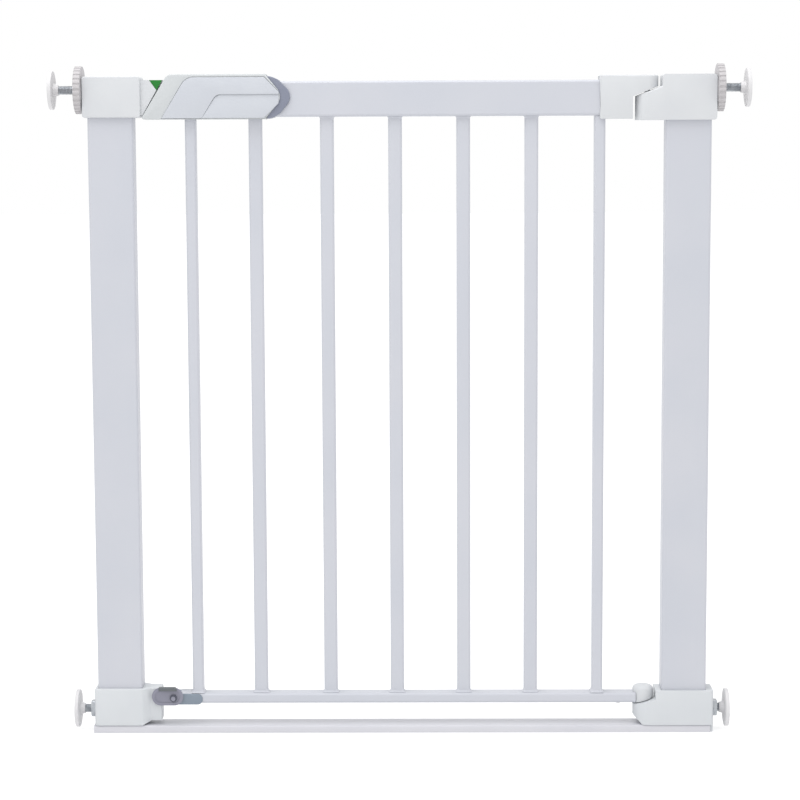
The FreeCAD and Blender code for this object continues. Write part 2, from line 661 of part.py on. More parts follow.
def shell_outline(inset, right):
    """The latch seen from the front, its nose on the left, inset all round."""
    lean = "(%s) * (slope_long + nose_slope)" % inset
    return [("nose_x - nose_slope * shell_high + (%s) * (slope_long - nose_slope)" % inset,
             "shell_low + " + inset),
            ] + right + [("nose_x + " + lean, "shell_top - " + inset)]


def latch_shell(name, side):
    """Half of the latch casing, closed in front and open on the side of its mate."""
    body = new_body(name)
    point = [("shell_end", "shell_low"), ("tip_x", "mid_z - tip_high / 2"),
             ("tip_x", "mid_z + tip_high / 2"), ("shell_end", "shell_top")]
    outline = prism(body, "XZ_Plane", shell_outline("0", point), *on_side(side, "0", "shell_half"))
    round_corners(body, outline, (2, 3), "tip_high")
    round_corners(body, outline, (0,), "edge_round")
    inside = [("tip_x + past", "shell_low + shell_wall"), ("tip_x + past", "shell_top - shell_wall")]
    prism(body, "XZ_Plane", shell_outline("shell_wall", inside),
          *on_side(side, "-past", "shell_half - shell_wall"), True)
    block(body, ("shell_end", "tip_x + past"), on_side(side, "-past", "shell_half - shell_wall"),
          ("shell_low - past", "shell_top + past"), True)
    for centre, wide, deep in UNDER_SHELL:
        block(body, ("%s - %s / 2 - seat_gap" % (centre, wide), "%s + %s / 2 + seat_gap" % (centre, wide)),
              on_side(side, "-past", deep + " / 2 + seat_gap"), ("shell_low - past", "rail_low"), True)
    block(body, ("bolt_tip - past", "leg_x"), on_side(side, "-past", "bolt_deep / 2 + run_gap"),
          ("bolt_z - bolt_high / 2 - run_gap", "bolt_z + bolt_high / 2 + run_gap"), True)
    if side > 0:
        screw_bores(body, LATCH_SCREWS)


def latch_panel(name, side):
    """The raised upper panel on the face of a latch shell."""
    body = new_body(name)
    seam = "nose_x + panel_set"
    grip = seam + " + grip_set"
    run = " - nose_slope * (shell_high - panel_edge)"
    outline = [(seam + run, "shell_low + panel_edge"),
               (grip + run + " - seat_gap", "shell_low + panel_edge"),
               (grip + " - nose_slope * crease_drop - seat_gap", "crease_z + seat_gap"),
               ("tip_x - panel_edge", "crease_z + seat_gap"),
               ("tip_x - panel_edge", "mid_z + tip_high / 2"),
               ("shell_end - panel_edge", "shell_top - panel_margin"),
               (seam + " - nose_slope * panel_margin", "shell_top - panel_margin")]
    prism(body, "XZ_Plane", outline, *on_side(side, "shell_half", "shell_half + panel_thick"))
    if side > 0:
        screw_bores(body, LATCH_SCREWS)


def finger_grip(name, side):
    """The lower panel, where the fingers close round the rail."""
    body = new_body(name)
    grip = "nose_x + panel_set + grip_set"
    run = " - nose_slope * (shell_high - panel_edge)"
    outline = [(grip + run + " + seat_gap", "shell_low + panel_edge"),
               ("shell_end - panel_edge", "shell_low + panel_edge"),
               ("tip_x - panel_edge", "mid_z - tip_high / 2"),
               ("tip_x - panel_edge", "crease_z - seat_gap"),
               (grip + " - nose_slope * crease_drop + seat_gap", "crease_z - seat_gap")]
    prism(body, "XZ_Plane", outline, *on_side(side, "shell_half", "shell_half + panel_thick / 2"))


def thumb_slide():
    body = new_body("thumb_slide")
    deep = "rail_deep / 2 + run_gap + slide_wall"
    low = "shell_low + slide_lift"
    outline = [("shell_end - slide_tuck", "rail_low"), ("shell_end + slide_neck", "rail_low"),
               ("shell_end + slide_neck", low), ("shell_end + slide_show", low),
               ("slide_end", "mid_z - tip_high / 2"), ("slide_end", "mid_z + tip_high / 2"),
               ("shell_end + slide_show", "slide_top"), ("shell_end - slide_tuck", "slide_top")]
    sketch = prism(body, "XZ_Plane", outline, *both_ways(deep))
    round_corners(body, sketch, (4, 5), "tip_high")
    block(body, ("shell_end - slide_tuck - past", "slide_end + past"), both_ways("rail_deep / 2 + run_gap"),
          ("rail_low - run_gap", "rail_top + run_gap"), True)


def latch_link():
    """The bar over the rail that carries the slide's movement to the bolt."""
    body = new_body("latch_link")
    right = "shell_end - slide_tuck"
    block(body, ("leg_x", right), both_ways("link_deep / 2"), ("link_low", "link_top"))
    block(body, ("leg_x", "leg_x + leg_thick"), both_ways("link_deep / 2"),
          ("bolt_z - bolt_high / 2", "link_top"))
    block(body, ("spring_start", "spring_end + slide_travel"), both_ways("spring_round + run_gap"),
          ("link_low - past", "link_top + past"), True)


def latch_bolt():
    body = new_body("latch_bolt")
    block(body, ("bolt_tip", "leg_x"), both_ways("bolt_deep / 2"),
          ("bolt_z - bolt_high / 2", "bolt_z + bolt_high / 2"))
    nose = [("bolt_tip - bolt_chamfer", "-bolt_deep"), ("bolt_tip + 2 * bolt_chamfer", "-bolt_deep"),
            ("bolt_tip - bolt_chamfer", "0")]
    prism(body, "XY_Plane", nose, "bolt_z - bolt_high", "bolt_z + bolt_high", True)


def latch_spring():
    disc(new_body("latch_spring"), "YZ_Plane", ("0", "(link_low + link_top) / 2"), "spring_round - seat_gap",
         "spring_start", "spring_end")


def rail_end_plug():
    body = new_body("rail_end_plug")
    block(body, ("rail_left - plug_thick", "rail_left"), both_ways("rail_deep / 2"),
          ("rail_low", "rail_top"))
    block(body, ("rail_left - plug_thick", "rail_left + plug_long"), both_ways("rail_deep / 2 - tube_wall"),
          ("rail_low + tube_wall", "rail_top - tube_wall"))


def screws(name, places):
    """Pan-head screws driven in from the back, one solid each."""
    body = new_body(name)
    for x, z, face in places:
        disc(body, "XZ_Plane", (x, z), "screw_round", "(%s) - screw_long" % face,
             "(%s) + head_thick" % face)
        disc(body, "XZ_Plane", (x, z), "head_round", face, "(%s) + head_thick" % face)


def stop_bracket():
    """The sleeve on the bottom rail, with the ear that carries the stop lever."""
    body = new_body("stop_bracket")
    deep = "rail_deep / 2 + bracket_wall"
    z_span = ("low_rail_at - bracket_wall", "low_rail_top")
    outline = prism(body, "XZ_Plane", corners("catch_x + ear_gap", "low_rail_left + bracket_long", *z_span),
                    *both_ways(deep))
    round_corners(body, outline, (1, 2), "corner_round * 2")
    block(body, ("low_rail_left", "low_rail_left + bracket_long + past"),
          both_ways("rail_deep / 2 + seat_gap"), ("low_rail_at - seat_gap", "low_rail_top + past"), True)
    disc(body, "XZ_Plane", ("lever_x", "lever_at"), "screw_round", "lever_back", "0", True)


def stop_lever():
    body = new_body("stop_lever")
    deep = ("lever_front", "lever_back")
    nose = "lever_x - lever_reach"
    disc(body, "XZ_Plane", (nose, "lever_at"), "lever_round", *deep)
    disc(body, "XZ_Plane", ("lever_x", "lever_at"), "lever_round - lever_taper", *deep)
    low, high = "lever_at - lever_round", "lever_at + lever_round"
    web = [(nose, low), ("lever_x", low + " + lever_taper"), ("lever_x", high + " - lever_taper"),
           (nose, high)]
    prism(body, "XZ_Plane", web, *deep)
    block(body, (nose + " - ledge_over", "lever_x + ledge_over"),
          ("lever_back - ledge_deep", "lever_back"), (high + " - lever_taper", high + " + ledge_high"))
    disc(body, "XZ_Plane", ("lever_x", "lever_at"), "screw_round + run_gap",
         "lever_front - past", "lever_back + past", True)


def stop_pivot_screw():
    body = new_body("stop_pivot_screw")
    disc(body, "XZ_Plane", ("lever_x", "lever_at"), "screw_round", "lever_front - run_gap - head_thick",
         "lever_back + screw_long")
    disc(body, "XZ_Plane", ("lever_x", "lever_at"), "head_round", "lever_front - run_gap - head_thick",
         "lever_front - run_gap")


def closing_bump():
    disc(new_body("closing_bump"), "XY_Plane", ("stile_b + stile_wide * 2", "0"), "bump_round",
         "low_rail_at - bump_high", "low_rail_at")


def spindle(name, side, height, face, length):
    """A threaded rod, plain here, with a pad to push against a wall."""
    outer = face + " - pad_thick"
    disc(new_body(name + "_spindle"), "YZ_Plane", ("0", height), "rod_round",
         *on_side(side, outer + " - " + length, outer))
    body = new_body(name + "_pad")
    disc(body, "YZ_Plane", ("0", height), "pad_round", *on_side(side, outer, face))
    disc(body, "YZ_Plane", ("0", height), "hub_round",
         *on_side(side, outer + " - hub_long", outer + " + pad_thick / 2"))
    disc(body, "YZ_Plane", ("0", height), "rod_round",
         *on_side(side, outer + " - hub_long - past", outer), True)


def handwheel(name, side):
    body = new_body(name)
    x_span = on_side(side, "cap_out + wheel_gap", "cap_out + wheel_gap + wheel_thick")
    disc(body, "YZ_Plane", ("0", "rod_at"), "wheel_round", *x_span)
    disc(body, "YZ_Plane", ("0", "rod_at"), "rod_round + run_gap",
         *on_side(side, "cap_out", "cap_out + wheel_thick * 2"), True)


def hex_nut(name, side, seat):
    body = new_body(name)
    reach = "nut_flats / sqrt(3)"
    outline = [("%s * %s" % (reach, round(math.cos(i * math.pi / 3), 9)),
                "low_rod_at + %s * %s" % (reach, round(math.sin(i * math.pi / 3), 9)))
               for i in range(6)]
    near = seat + " + wheel_gap"
    prism(body, "YZ_Plane", outline, *on_side(side, near, near + " + nut_thick"))
    disc(body, "YZ_Plane", ("0", "low_rod_at"), "rod_round + run_gap",
         *on_side(side, seat, near + " + nut_thick + past"), True)


post("left_post", -1)
post("right_post", 1)
floor_strip()
strip_grips()
left_top_cap()
right_top_cap()
left_bottom_fitting()
right_bottom_fitting()
strike_block()
indicator_tiles()
indicator_flag()
screws("cap_screws", CAP_SCREWS)
screws("fitting_screws", FITTING_SCREWS)
hinge_pin("upper_hinge_pin", "cap_top - right_cap_high + pin_seat", "cover_top - cover_skin - face_gap")
hinge_pin("lower_hinge_pin", "strip_high + pin_seat", "low_cap_high - low_cap_skin - face_gap")
hinge_bush("upper_hinge_bush", "hinge_z + bush_lift")
hinge_bush("lower_hinge_bush", "low_hinge_high + bush_lift")
screw_bores(rail("top_rail", ("rail_left", "rail_right"), ("rail_low", "rail_top")), LATCH_SCREWS)
rail("bottom_rail", ("low_rail_left", "low_rail_right"), ("low_rail_at", "low_rail_top"))
upright("latch_stile", "stile_a", "stile_wide", "stile_deep")
bars()
upright("hinge_stile", "stile_b", "stile_wide", "stile_deep")
upper_hinge_cover()
lower_hinge_cap()
rail_end_plug()
latch_shell("latch_shell_front", -1)
latch_shell("latch_shell_rear", 1)
latch_panel("latch_panel_front", -1)
latch_panel("latch_panel_rear", 1)
finger_grip("finger_grip_front", -1)
finger_grip("finger_grip_rear", 1)
screws("latch_screws", LATCH_SCREWS)
thumb_slide()
latch_link()
latch_bolt()
latch_spring()
stop_bracket()
stop_lever()
stop_pivot_screw()
closing_bump()
for word, side in (("left", -1), ("right", 1)):
    spindle("upper_" + word, side, "rod_at", "cap_out + pad_reach", "rod_long")
    spindle("lower_" + word, side, "low_rod_at", "cap_out + low_pad_reach", "low_rod_long")
    handwheel(word + "_handwheel", side)
hex_nut("left_hex_nut", -1, "fit_out")
hex_nut("right_hex_nut", 1, "cap_out + end_lip")

doc.recompute()
for item in doc.Objects:
    if "Invalid" in item.State or "Error" in item.State:
        raise RuntimeError("%s did not build: %s" % (item.Name, item.State))
os.makedirs("parts", exist_ok=True)
for body in subparts:
    if body.Shape.isNull() or not body.Shape.isValid():
        raise RuntimeError("%s has no sound shape" % body.Label)
    body.Shape.exportStep("parts/%s.step" % body.Label)
    print(body.Label, len(body.Shape.Solids), round(body.Shape.Volume, 1))
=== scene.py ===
import math
import bmesh
import bpy
from mathutils import Matrix, Vector


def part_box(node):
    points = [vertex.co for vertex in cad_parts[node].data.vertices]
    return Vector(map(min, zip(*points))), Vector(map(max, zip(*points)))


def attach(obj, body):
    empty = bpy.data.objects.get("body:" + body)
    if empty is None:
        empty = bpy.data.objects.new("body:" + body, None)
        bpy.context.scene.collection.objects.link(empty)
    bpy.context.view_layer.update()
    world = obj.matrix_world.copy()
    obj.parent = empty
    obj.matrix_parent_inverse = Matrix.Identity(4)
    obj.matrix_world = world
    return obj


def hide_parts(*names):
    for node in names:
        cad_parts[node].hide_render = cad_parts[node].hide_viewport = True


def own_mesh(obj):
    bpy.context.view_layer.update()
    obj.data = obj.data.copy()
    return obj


# A pressure-fit stair gate, put together from its fixed frame to its door and latch.
# Lengths are in metres. X runs from the latch post to the hinge post, and +Y to the back.
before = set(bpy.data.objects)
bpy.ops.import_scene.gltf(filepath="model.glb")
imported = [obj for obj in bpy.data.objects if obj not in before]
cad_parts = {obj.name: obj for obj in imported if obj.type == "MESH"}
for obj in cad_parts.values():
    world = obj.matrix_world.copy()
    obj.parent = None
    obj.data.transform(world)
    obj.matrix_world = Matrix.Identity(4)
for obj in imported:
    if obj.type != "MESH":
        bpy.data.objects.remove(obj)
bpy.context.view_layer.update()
MM = 0.001


# Posts and rails: mild steel tube, 1.5 mm wall, washed and powder coated in white.
# The coat is baked on and leaves a faint orange peel.
def paint(name, light, dark, patch, grain, relief, rough, metal=0.0):
    """A finish whose tone drifts over patches, with a fine grain in its gloss and its surface."""
    material = bpy.data.materials.new(name)
    material.use_nodes = True
    tree = material.node_tree
    surface = tree.nodes["Principled BSDF"]
    surface.inputs["Metallic"].default_value = metal
    place = tree.nodes.new("ShaderNodeTexCoord")
    drift = tree.nodes.new("ShaderNodeTexNoise")
    drift.inputs["Scale"].default_value = patch
    drift.inputs["Detail"].default_value = 3
    tone = tree.nodes.new("ShaderNodeValToRGB")
    tone.color_ramp.elements[0].position = 0.35
    tone.color_ramp.elements[0].color = (*dark, 1)
    tone.color_ramp.elements[1].position = 0.65
    tone.color_ramp.elements[1].color = (*light, 1)
    fine = tree.nodes.new("ShaderNodeTexNoise")
    fine.inputs["Scale"].default_value = grain
    fine.inputs["Detail"].default_value = 2
    gloss = tree.nodes.new("ShaderNodeMapRange")
    spread = 0.07
    gloss.inputs["To Min"].default_value = rough - spread
    gloss.inputs["To Max"].default_value = rough + spread
    bump = tree.nodes.new("ShaderNodeBump")
    bump.inputs["Strength"].default_value = 0.6
    bump.inputs["Distance"].default_value = relief
    tree.links.new(place.outputs["Object"], drift.inputs["Vector"])
    tree.links.new(place.outputs["Object"], fine.inputs["Vector"])
    tree.links.new(drift.outputs["Fac"], tone.inputs["Fac"])
    tree.links.new(tone.outputs["Color"], surface.inputs["Base Color"])
    tree.links.new(fine.outputs["Fac"], gloss.inputs["Value"])
    tree.links.new(gloss.outputs["Result"], surface.inputs["Roughness"])
    tree.links.new(fine.outputs["Fac"], bump.inputs["Height"])
    tree.links.new(bump.outputs["Normal"], surface.inputs["Normal"])
    return material


def coat_nodes(material, *names):
    """Puts a finish on parts that keep the shape they were packed with."""
    for name in names:
        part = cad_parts[name]
        part.data.materials.clear()
        part.data.materials.append(material)


UPRIGHTS = ("latch_stile", "bar_1", "bar_2", "bar_3", "bar_4", "bar_5", "hinge_stile")
powder_coat = paint("white_powder_coat", (0.522, 0.533, 0.578), (0.5, 0.516, 0.565),
                    patch=9, grain=520, relief=0.06 * MM, rough=0.42)
coat_nodes(powder_coat, "left_post", "right_post", "top_rail", "bottom_rail", *UPRIGHTS)


# Weld beads: the uprights are MIG welded to the rails before the door is coated.
# The bead flares out at the foot and the coat softens it, so it reads as a small skirt.
CREASE = math.radians(35)


def begin(name):
    """Names the shape just added, settles its place and opens it for editing."""
    bpy.ops.object.transform_apply(location=True, rotation=True, scale=True)
    piece = bpy.context.active_object
    piece.name = name
    piece.data.name = name
    bpy.ops.object.mode_set(mode="EDIT")
    return piece


def add_block(name, low, high):
    """A box between two corners, left in edit mode."""
    low, high = Vector(low), Vector(high)
    bpy.ops.object.select_all(action="DESELECT")
    bpy.ops.mesh.primitive_cube_add(size=1, location=(low + high) / 2, scale=high - low)
    return begin(name)


def pick_faces(test):
    """Selects the faces of the open mesh whose middle and normal pass a test."""
    bpy.ops.mesh.select_mode(type="FACE")
    bpy.ops.mesh.select_all(action="DESELECT")
    mesh = bmesh.from_edit_mesh(bpy.context.edit_object.data)
    for face in mesh.faces:
        face.select_set(bool(test(face.calc_center_median(), face.normal)))
    bmesh.update_edit_mesh(bpy.context.edit_object.data)


def pick_edges(test):
    """Selects the edges of the open mesh whose middle and direction pass a test."""
    bpy.ops.mesh.select_mode(type="EDGE")
    bpy.ops.mesh.select_all(action="DESELECT")
    mesh = bmesh.from_edit_mesh(bpy.context.edit_object.data)
    for edge in mesh.edges:
        run = (edge.verts[1].co - edge.verts[0].co).normalized()
        edge.select_set(bool(test((edge.verts[0].co + edge.verts[1].co) / 2, run)))
    bmesh.update_edit_mesh(bpy.context.edit_object.data)


def pull(step, size=None):
    """Extrudes what is selected by a step, then makes its end face larger or smaller."""
    bpy.ops.mesh.extrude_region_move(TRANSFORM_OT_translate={"value": step})
    if size:
        bpy.ops.transform.resize(value=size)


def close(piece, rim=0.0, steps=3):
    """Ends the edit: outward normals, softened edges, and shading that keeps the creases."""
    bpy.ops.mesh.select_all(action="SELECT")
    bpy.ops.mesh.remove_doubles(threshold=0.01 * MM)
    bpy.ops.mesh.normals_make_consistent(inside=False)
    bpy.ops.object.mode_set(mode="OBJECT")
    if rim:
        bevel = piece.modifiers.new("rim", "BEVEL")
        bevel.width = rim
        bevel.segments = steps
        bevel.limit_method = "ANGLE"
        bevel.angle_limit = math.radians(30)
        bpy.ops.object.modifier_apply(modifier="rim")
    bpy.ops.object.shade_smooth_by_angle(angle=CREASE)


def dress(piece, material, body, slot, *nodes):
    """Gives a piece its finish, the body that it moves with and the parts that it stands for."""
    piece.data.materials.clear()
    piece.data.materials.append(material)
    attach(piece, body)
    if nodes:
        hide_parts(*nodes)


def weld_bead(name, upright, foot, up, rise):
    """A flared bead round an upright where it meets a rail, its foot on the rail."""
    low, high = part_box(upright)
    waist, crown = foot + up * rise * 0.45, foot + up * rise
    bead = add_block(name, (low.x, low.y, min(waist, crown)), (high.x, high.y, max(waist, crown)))
    pick_faces(lambda spot, normal: abs(spot.z - waist) < 0.001 * MM)
    wide, deep = high.x - low.x, high.y - low.y
    flare_wide, flare_deep = rise * 1.1, rise * 0.9
    pull((0, 0, foot - waist), ((wide + flare_wide) / wide, (deep + flare_deep) / deep, 1))
    close(bead, 1.2 * MM)
    dress(bead, powder_coat, "door", "painted_steel")


low_rail_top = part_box("bottom_rail")[1].z
top_rail_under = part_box("top_rail")[0].z
for upright in UPRIGHTS:
    weld_bead("weld_at_foot_of_" + upright, upright, low_rail_top, 1, 4 * MM)
for upright in ("bar_2", "bar_3", "bar_4", "bar_5"):
    weld_bead("weld_at_head_of_" + upright, upright, top_rail_under, -1, 2.4 * MM)


# Floor strip: the steel bottom bar of the U frame, rolled as a shallow channel.
# Its two long top corners are rolled round, and it is coated with the posts.
low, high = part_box("floor_strip")
gauge, rolled_round = 2 * MM, 2.4 * MM
strip = add_block("floor_channel", low, high)
pick_edges(lambda spot, run: abs(run.x) > 0.9 and spot.z > high.z - MM)
bpy.ops.mesh.bevel(offset=rolled_round, segments=6, affect="EDGES")
pick_faces(lambda spot, normal: normal.z < -0.9)
bpy.ops.mesh.inset(thickness=gauge)
pull((0, 0, high.z - low.z - gauge))
close(strip, 0.4 * MM, 2)
# The strip gets a lighter copy of the post coat: painted light that lifts the shade the door's
# bottom rail throws on it.
strip_coat_painted_light = paint("strip_powder_coat_lightened", (0.594, 0.594, 0.63), (0.572, 0.572, 0.612),
                   patch=12, grain=480, relief=0.06 * MM, rough=0.38)
dress(strip, strip_coat_painted_light, "frame", "painted_steel", "floor_strip")

# Rubber grips: EPDM blocks pressed into the channel so that the gate does not slide.
# Their underside stands on the floor and is moulded with a fine pebble.
rubber = paint("grip_rubber_finish", (0.10, 0.10, 0.105), (0.075, 0.075, 0.08),
               patch=60, grain=900, relief=0.2 * MM, rough=0.75)
coat_nodes(rubber, "strip_grips")


# End caps: injection moulded ABS, slipped over the post heads and held by a screw from behind.
# Their faces have a fine spark texture and their edges are rounded in the mould.
def plastic(name, light, dark, rough=0.46):
    """Moulded plastic: a spark-eroded texture, flow tone and a thin sheen."""
    material = paint(name, light, dark, patch=22, grain=1500, relief=0.04 * MM, rough=rough)
    surface = material.node_tree.nodes["Principled BSDF"]
    surface.inputs["Subsurface Weight"].default_value = 0.04
    surface.inputs["Subsurface Radius"].default_value = (3 * MM, 3 * MM, 3 * MM)
    surface.inputs["Specular IOR Level"].default_value = 0.4
    return material


def select_only(piece):
    """Leaves edit mode and makes a piece the only one selected."""
    if bpy.context.mode != "OBJECT":
        bpy.ops.object.mode_set(mode="OBJECT")
    bpy.ops.object.select_all(action="DESELECT")
    piece.select_set(True)
    bpy.context.view_layer.objects.active = piece


def carve(piece, tool, way="DIFFERENCE"):
    """Cuts a closed tool out of a piece, or trims the piece to it, and throws the tool away."""
    select_only(piece)
    cut = piece.modifiers.new("cut", "BOOLEAN")
    cut.operation = way
    cut.solver = "EXACT"
    cut.object = tool
    bpy.ops.object.modifier_apply(modifier="cut")
    bpy.data.objects.remove(tool)
    bpy.ops.object.shade_smooth_by_angle(angle=CREASE)


def add_round(name, start, end, radius, sides=64):
    """A round bar between two points on one axis, left in edit mode."""
    start, end = Vector(start), Vector(end)
    turn = Vector((0, 0, 1)).rotation_difference(end - start).to_euler()
    bpy.ops.object.select_all(action="DESELECT")
    bpy.ops.mesh.primitive_cylinder_add(vertices=sides, radius=radius, depth=(end - start).length,
                                        location=(start + end) / 2, rotation=turn)
    return begin(name)


def drill(piece, start, end, radius):
    """Bores a round hole between two points."""
    tool = add_round("drill_bit", start, end, radius, 32)
    bpy.ops.object.mode_set(mode="OBJECT")
    carve(piece, tool)


def hollow(piece, low, high):
    """Cuts a box-shaped room out of a piece."""
    tool = add_block("room", low, high)
    bpy.ops.object.mode_set(mode="OBJECT")
    carve(piece, tool)


FIT = 0.1 * MM
SPINDLE_BORE = 5.3 * MM


def post_socket(piece, post, low_z, high_z):
    """Cuts the room that a post stands in, between two heights."""
    post_low, post_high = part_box(post)
    hollow(piece, (post_low.x - FIT, post_low.y - FIT, low_z),
           (post_high.x + FIT, post_high.y + FIT, high_z))


def spindle_bore(piece, face_x, outward, height):
    """Bores the hole that a spindle turns in, from the outer face of a corner."""
    drill(piece, (face_x + outward * MM, 0, height), (face_x - outward * 10 * MM, 0, height),
          SPINDLE_BORE)


cap_round, mould_round = 3.2 * MM, 1.3 * MM
white_abs = plastic("white_abs", (0.595, 0.609, 0.626), (0.574, 0.588, 0.609))
low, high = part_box("left_top_cap")
left_cap = add_block("left_end_cap", low, high)
pick_edges(lambda spot, run: abs(run.y) > 0.9)
bpy.ops.mesh.bevel(offset=cap_round, segments=6, affect="EDGES")
close(left_cap, mould_round, 4)
post_socket(left_cap, "left_post", low.z - MM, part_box("left_post")[1].z)
rod_low, rod_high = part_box("upper_left_spindle")
rod_z = (rod_low.z + rod_high.z) / 2
spindle_bore(left_cap, low.x, -1, rod_z)
dress(left_cap, white_abs, "frame", "white_plastic", "left_top_cap")

# The right cap carries a round lobe, the fixed half of the rising hinge.
# The lobe's top is a ramp: the door climbs it as it opens and its weight closes it again.
# HINGE_RISE is the ramp's slope, and hinge_z its height at the pin's axis.
low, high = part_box("right_top_cap")
pin_low, pin_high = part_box("upper_hinge_pin")
hinge_x = (pin_low.x + pin_high.x) / 2
HINGE_RISE = 0.39
hinge_z = 711.3 * MM
ramp_gap = 0.5 * MM
wall_x = hinge_x + 15.2 * MM
ramp_top = hinge_z + HINGE_RISE * (wall_x - hinge_x) - ramp_gap
right_cap = add_block("right_end_cap", (wall_x, low.y, low.z), high)
pick_edges(lambda spot, run: abs(run.y) > 0.9 and (spot.z > high.z - MM or spot.x > high.x - MM))
bpy.ops.mesh.bevel(offset=cap_round, segments=6, affect="EDGES")
pick_faces(lambda spot, normal: normal.x < -0.9)
bpy.ops.mesh.bisect(plane_co=(0, 0, ramp_top), plane_no=(0, 0, 1))
arm_half = 12.4 * MM
for far, size in ((hinge_x, (1, arm_half / high.y, 1)), (low.x, None)):
    near = wall_x if size else hinge_x
    pick_faces(lambda spot, normal: normal.x < -0.9 and spot.z < ramp_top)
    pull((far - near, 0, 0), size)
    pick_edges(lambda spot, run: abs(run.y) > 0.9 and spot.x < far + MM and spot.z > low.z + MM)
    bpy.ops.transform.translate(value=(0, 0, HINGE_RISE * (far - near)))
pick_edges(lambda spot, run: hinge_x < spot.x < wall_x - MM and abs(spot.y) > arm_half
           and spot.z > low.z + 20 * MM)
bpy.ops.mesh.bevel(offset=2 * MM, segments=4, affect="EDGES")
pick_edges(lambda spot, run: abs(run.z) > 0.9 and spot.x < low.x + MM)
bpy.ops.mesh.bevel(offset=arm_half * 0.99, segments=18, affect="EDGES")
close(right_cap, mould_round, 4)
post_socket(right_cap, "right_post", low.z - MM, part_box("right_post")[1].z)
spindle_bore(right_cap, high.x, 1, rod_z)
dress(right_cap, white_abs, "frame", "white_plastic", "right_top_cap")

# Bottom fittings: glass-filled nylon feet that tie posts and floor strip together.
# The left one reaches inboard as the catch that the stop lever lies in front of.
low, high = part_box("left_bottom_fitting")
post_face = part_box("left_post")[1].x
foot_abs = plastic("foot_plastic", (0.592, 0.612, 0.632), (0.57, 0.591, 0.615), 0.5)
foot_round, foot_rim = 3 * MM, 1.4 * MM
catch_half, catch_lift = 10 * MM, 4.2 * MM
catch_root = post_face + 9 * MM
catch_end = high.x - 2.4 * MM
left_foot = add_block("left_foot", low, (post_face, high.y, high.z))
pick_edges(lambda spot, run: abs(run.z) > 0.9 and spot.x < low.x + MM)
bpy.ops.mesh.bevel(offset=foot_round, segments=6, affect="EDGES")
pick_faces(lambda spot, normal: normal.x > 0.9)
pull((catch_root - post_face, 0, 0), (1, catch_half / high.y, 1))
pick_faces(lambda spot, normal: normal.x > 0.9)
pull((catch_end - catch_root, 0, 0))
pick_edges(lambda spot, run: spot.z < low.z + MM and spot.x > catch_root - MM)
bpy.ops.transform.translate(value=(0, 0, catch_lift))
close(left_foot, foot_rim, 4)
post_socket(left_foot, "left_post", low.z - MM, high.z + MM)
rod_low, rod_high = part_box("lower_left_spindle")
low_rod_z = (rod_low.z + rod_high.z) / 2
spindle_bore(left_foot, low.x, -1, low_rod_z)
dress(left_foot, foot_abs, "frame", "white_plastic", "left_bottom_fitting")

# The right foot carries the lower ramp of the hinge, and a lip that closes the strip's end.
# LOW_RISE and low_hinge_z are that ramp's slope and its height at the pin's axis.
low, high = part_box("right_bottom_fitting")
strip_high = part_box("floor_strip")[1]
LOW_RISE = 0.288
low_hinge_z = 33.4 * MM
wall_x = hinge_x + 13.2 * MM
ramp_top = low_hinge_z + LOW_RISE * (wall_x - hinge_x)
right_foot = add_block("right_foot", (wall_x, low.y, strip_high.z), high)
pick_edges(lambda spot, run: abs(run.z) > 0.9 and spot.x > high.x - MM)
bpy.ops.mesh.bevel(offset=foot_round, segments=6, affect="EDGES")
pick_faces(lambda spot, normal: normal.x < -0.9)
bpy.ops.mesh.bisect(plane_co=(0, 0, ramp_top), plane_no=(0, 0, 1))
pick_faces(lambda spot, normal: normal.x < -0.9 and spot.z < ramp_top)
pull((low.x - wall_x, 0, 0))
pick_edges(lambda spot, run: abs(run.y) > 0.9 and spot.x < low.x + MM
           and spot.z > strip_high.z + MM)
bpy.ops.transform.translate(value=(0, 0, LOW_RISE * (low.x - wall_x)))
pick_edges(lambda spot, run: abs(run.z) > 0.9 and spot.x < low.x + MM)
bpy.ops.mesh.bevel(offset=high.y * 0.995, segments=18, affect="EDGES")
bpy.ops.mesh.select_all(action="SELECT")
toe_x, toe_slope = low.x + 10 * MM, (-7.5, 0, -10)
bpy.ops.mesh.bisect(plane_co=(toe_x, 0, strip_high.z), plane_no=toe_slope,
                    use_fill=True, clear_outer=True)
close(right_foot, foot_rim, 4)
post_socket(right_foot, "right_post", low.z - MM, high.z + MM)
spindle_bore(right_foot, high.x, 1, low_rod_z)
dress(right_foot, foot_abs, "frame", "white_plastic", "right_bottom_fitting")
lip = add_block("right_foot_lip", (strip_high.x + FIT, low.y + foot_round, low.z),
                (high.x, high.y - foot_round, strip_high.z + 0.5 * MM))
close(lip, 0.8 * MM)
dress(lip, foot_abs, "frame", "white_plastic")

# Hinge pins and bushes: ground steel pins pressed into the fixed lobes, and acetal bushes on them.
# The pins are bright zinc plated, with the fine cloud of barrel plating.
zinc = paint("bright_zinc", (0.468, 0.491, 0.515), (0.339, 0.36, 0.39),
             patch=180, grain=1400, relief=0.02 * MM, rough=0.30, metal=1.0)
coat_nodes(zinc, "upper_hinge_pin", "lower_hinge_pin")
acetal = plastic("acetal_bush", (0.62, 0.61, 0.58), (0.58, 0.57, 0.54), 0.35)
coat_nodes(acetal, "upper_hinge_bush", "lower_hinge_bush")


# Strike block and flag: white ABS screwed to the left cap, with a window on each face.
# The green flag shows while the bolt is home; it drops as the bolt is drawn, and red tiles show.
coat_nodes(white_abs, "strike_block")
green = plastic("flag_green", (0.0105, 0.205, 0.0208), (0.0075, 0.167, 0.0162), 0.4)
coat_nodes(green, "indicator_flag")
red = plastic("tile_red", (0.55, 0.03, 0.025), (0.47, 0.02, 0.02), 0.4)
coat_nodes(red, "indicator_red_tiles")


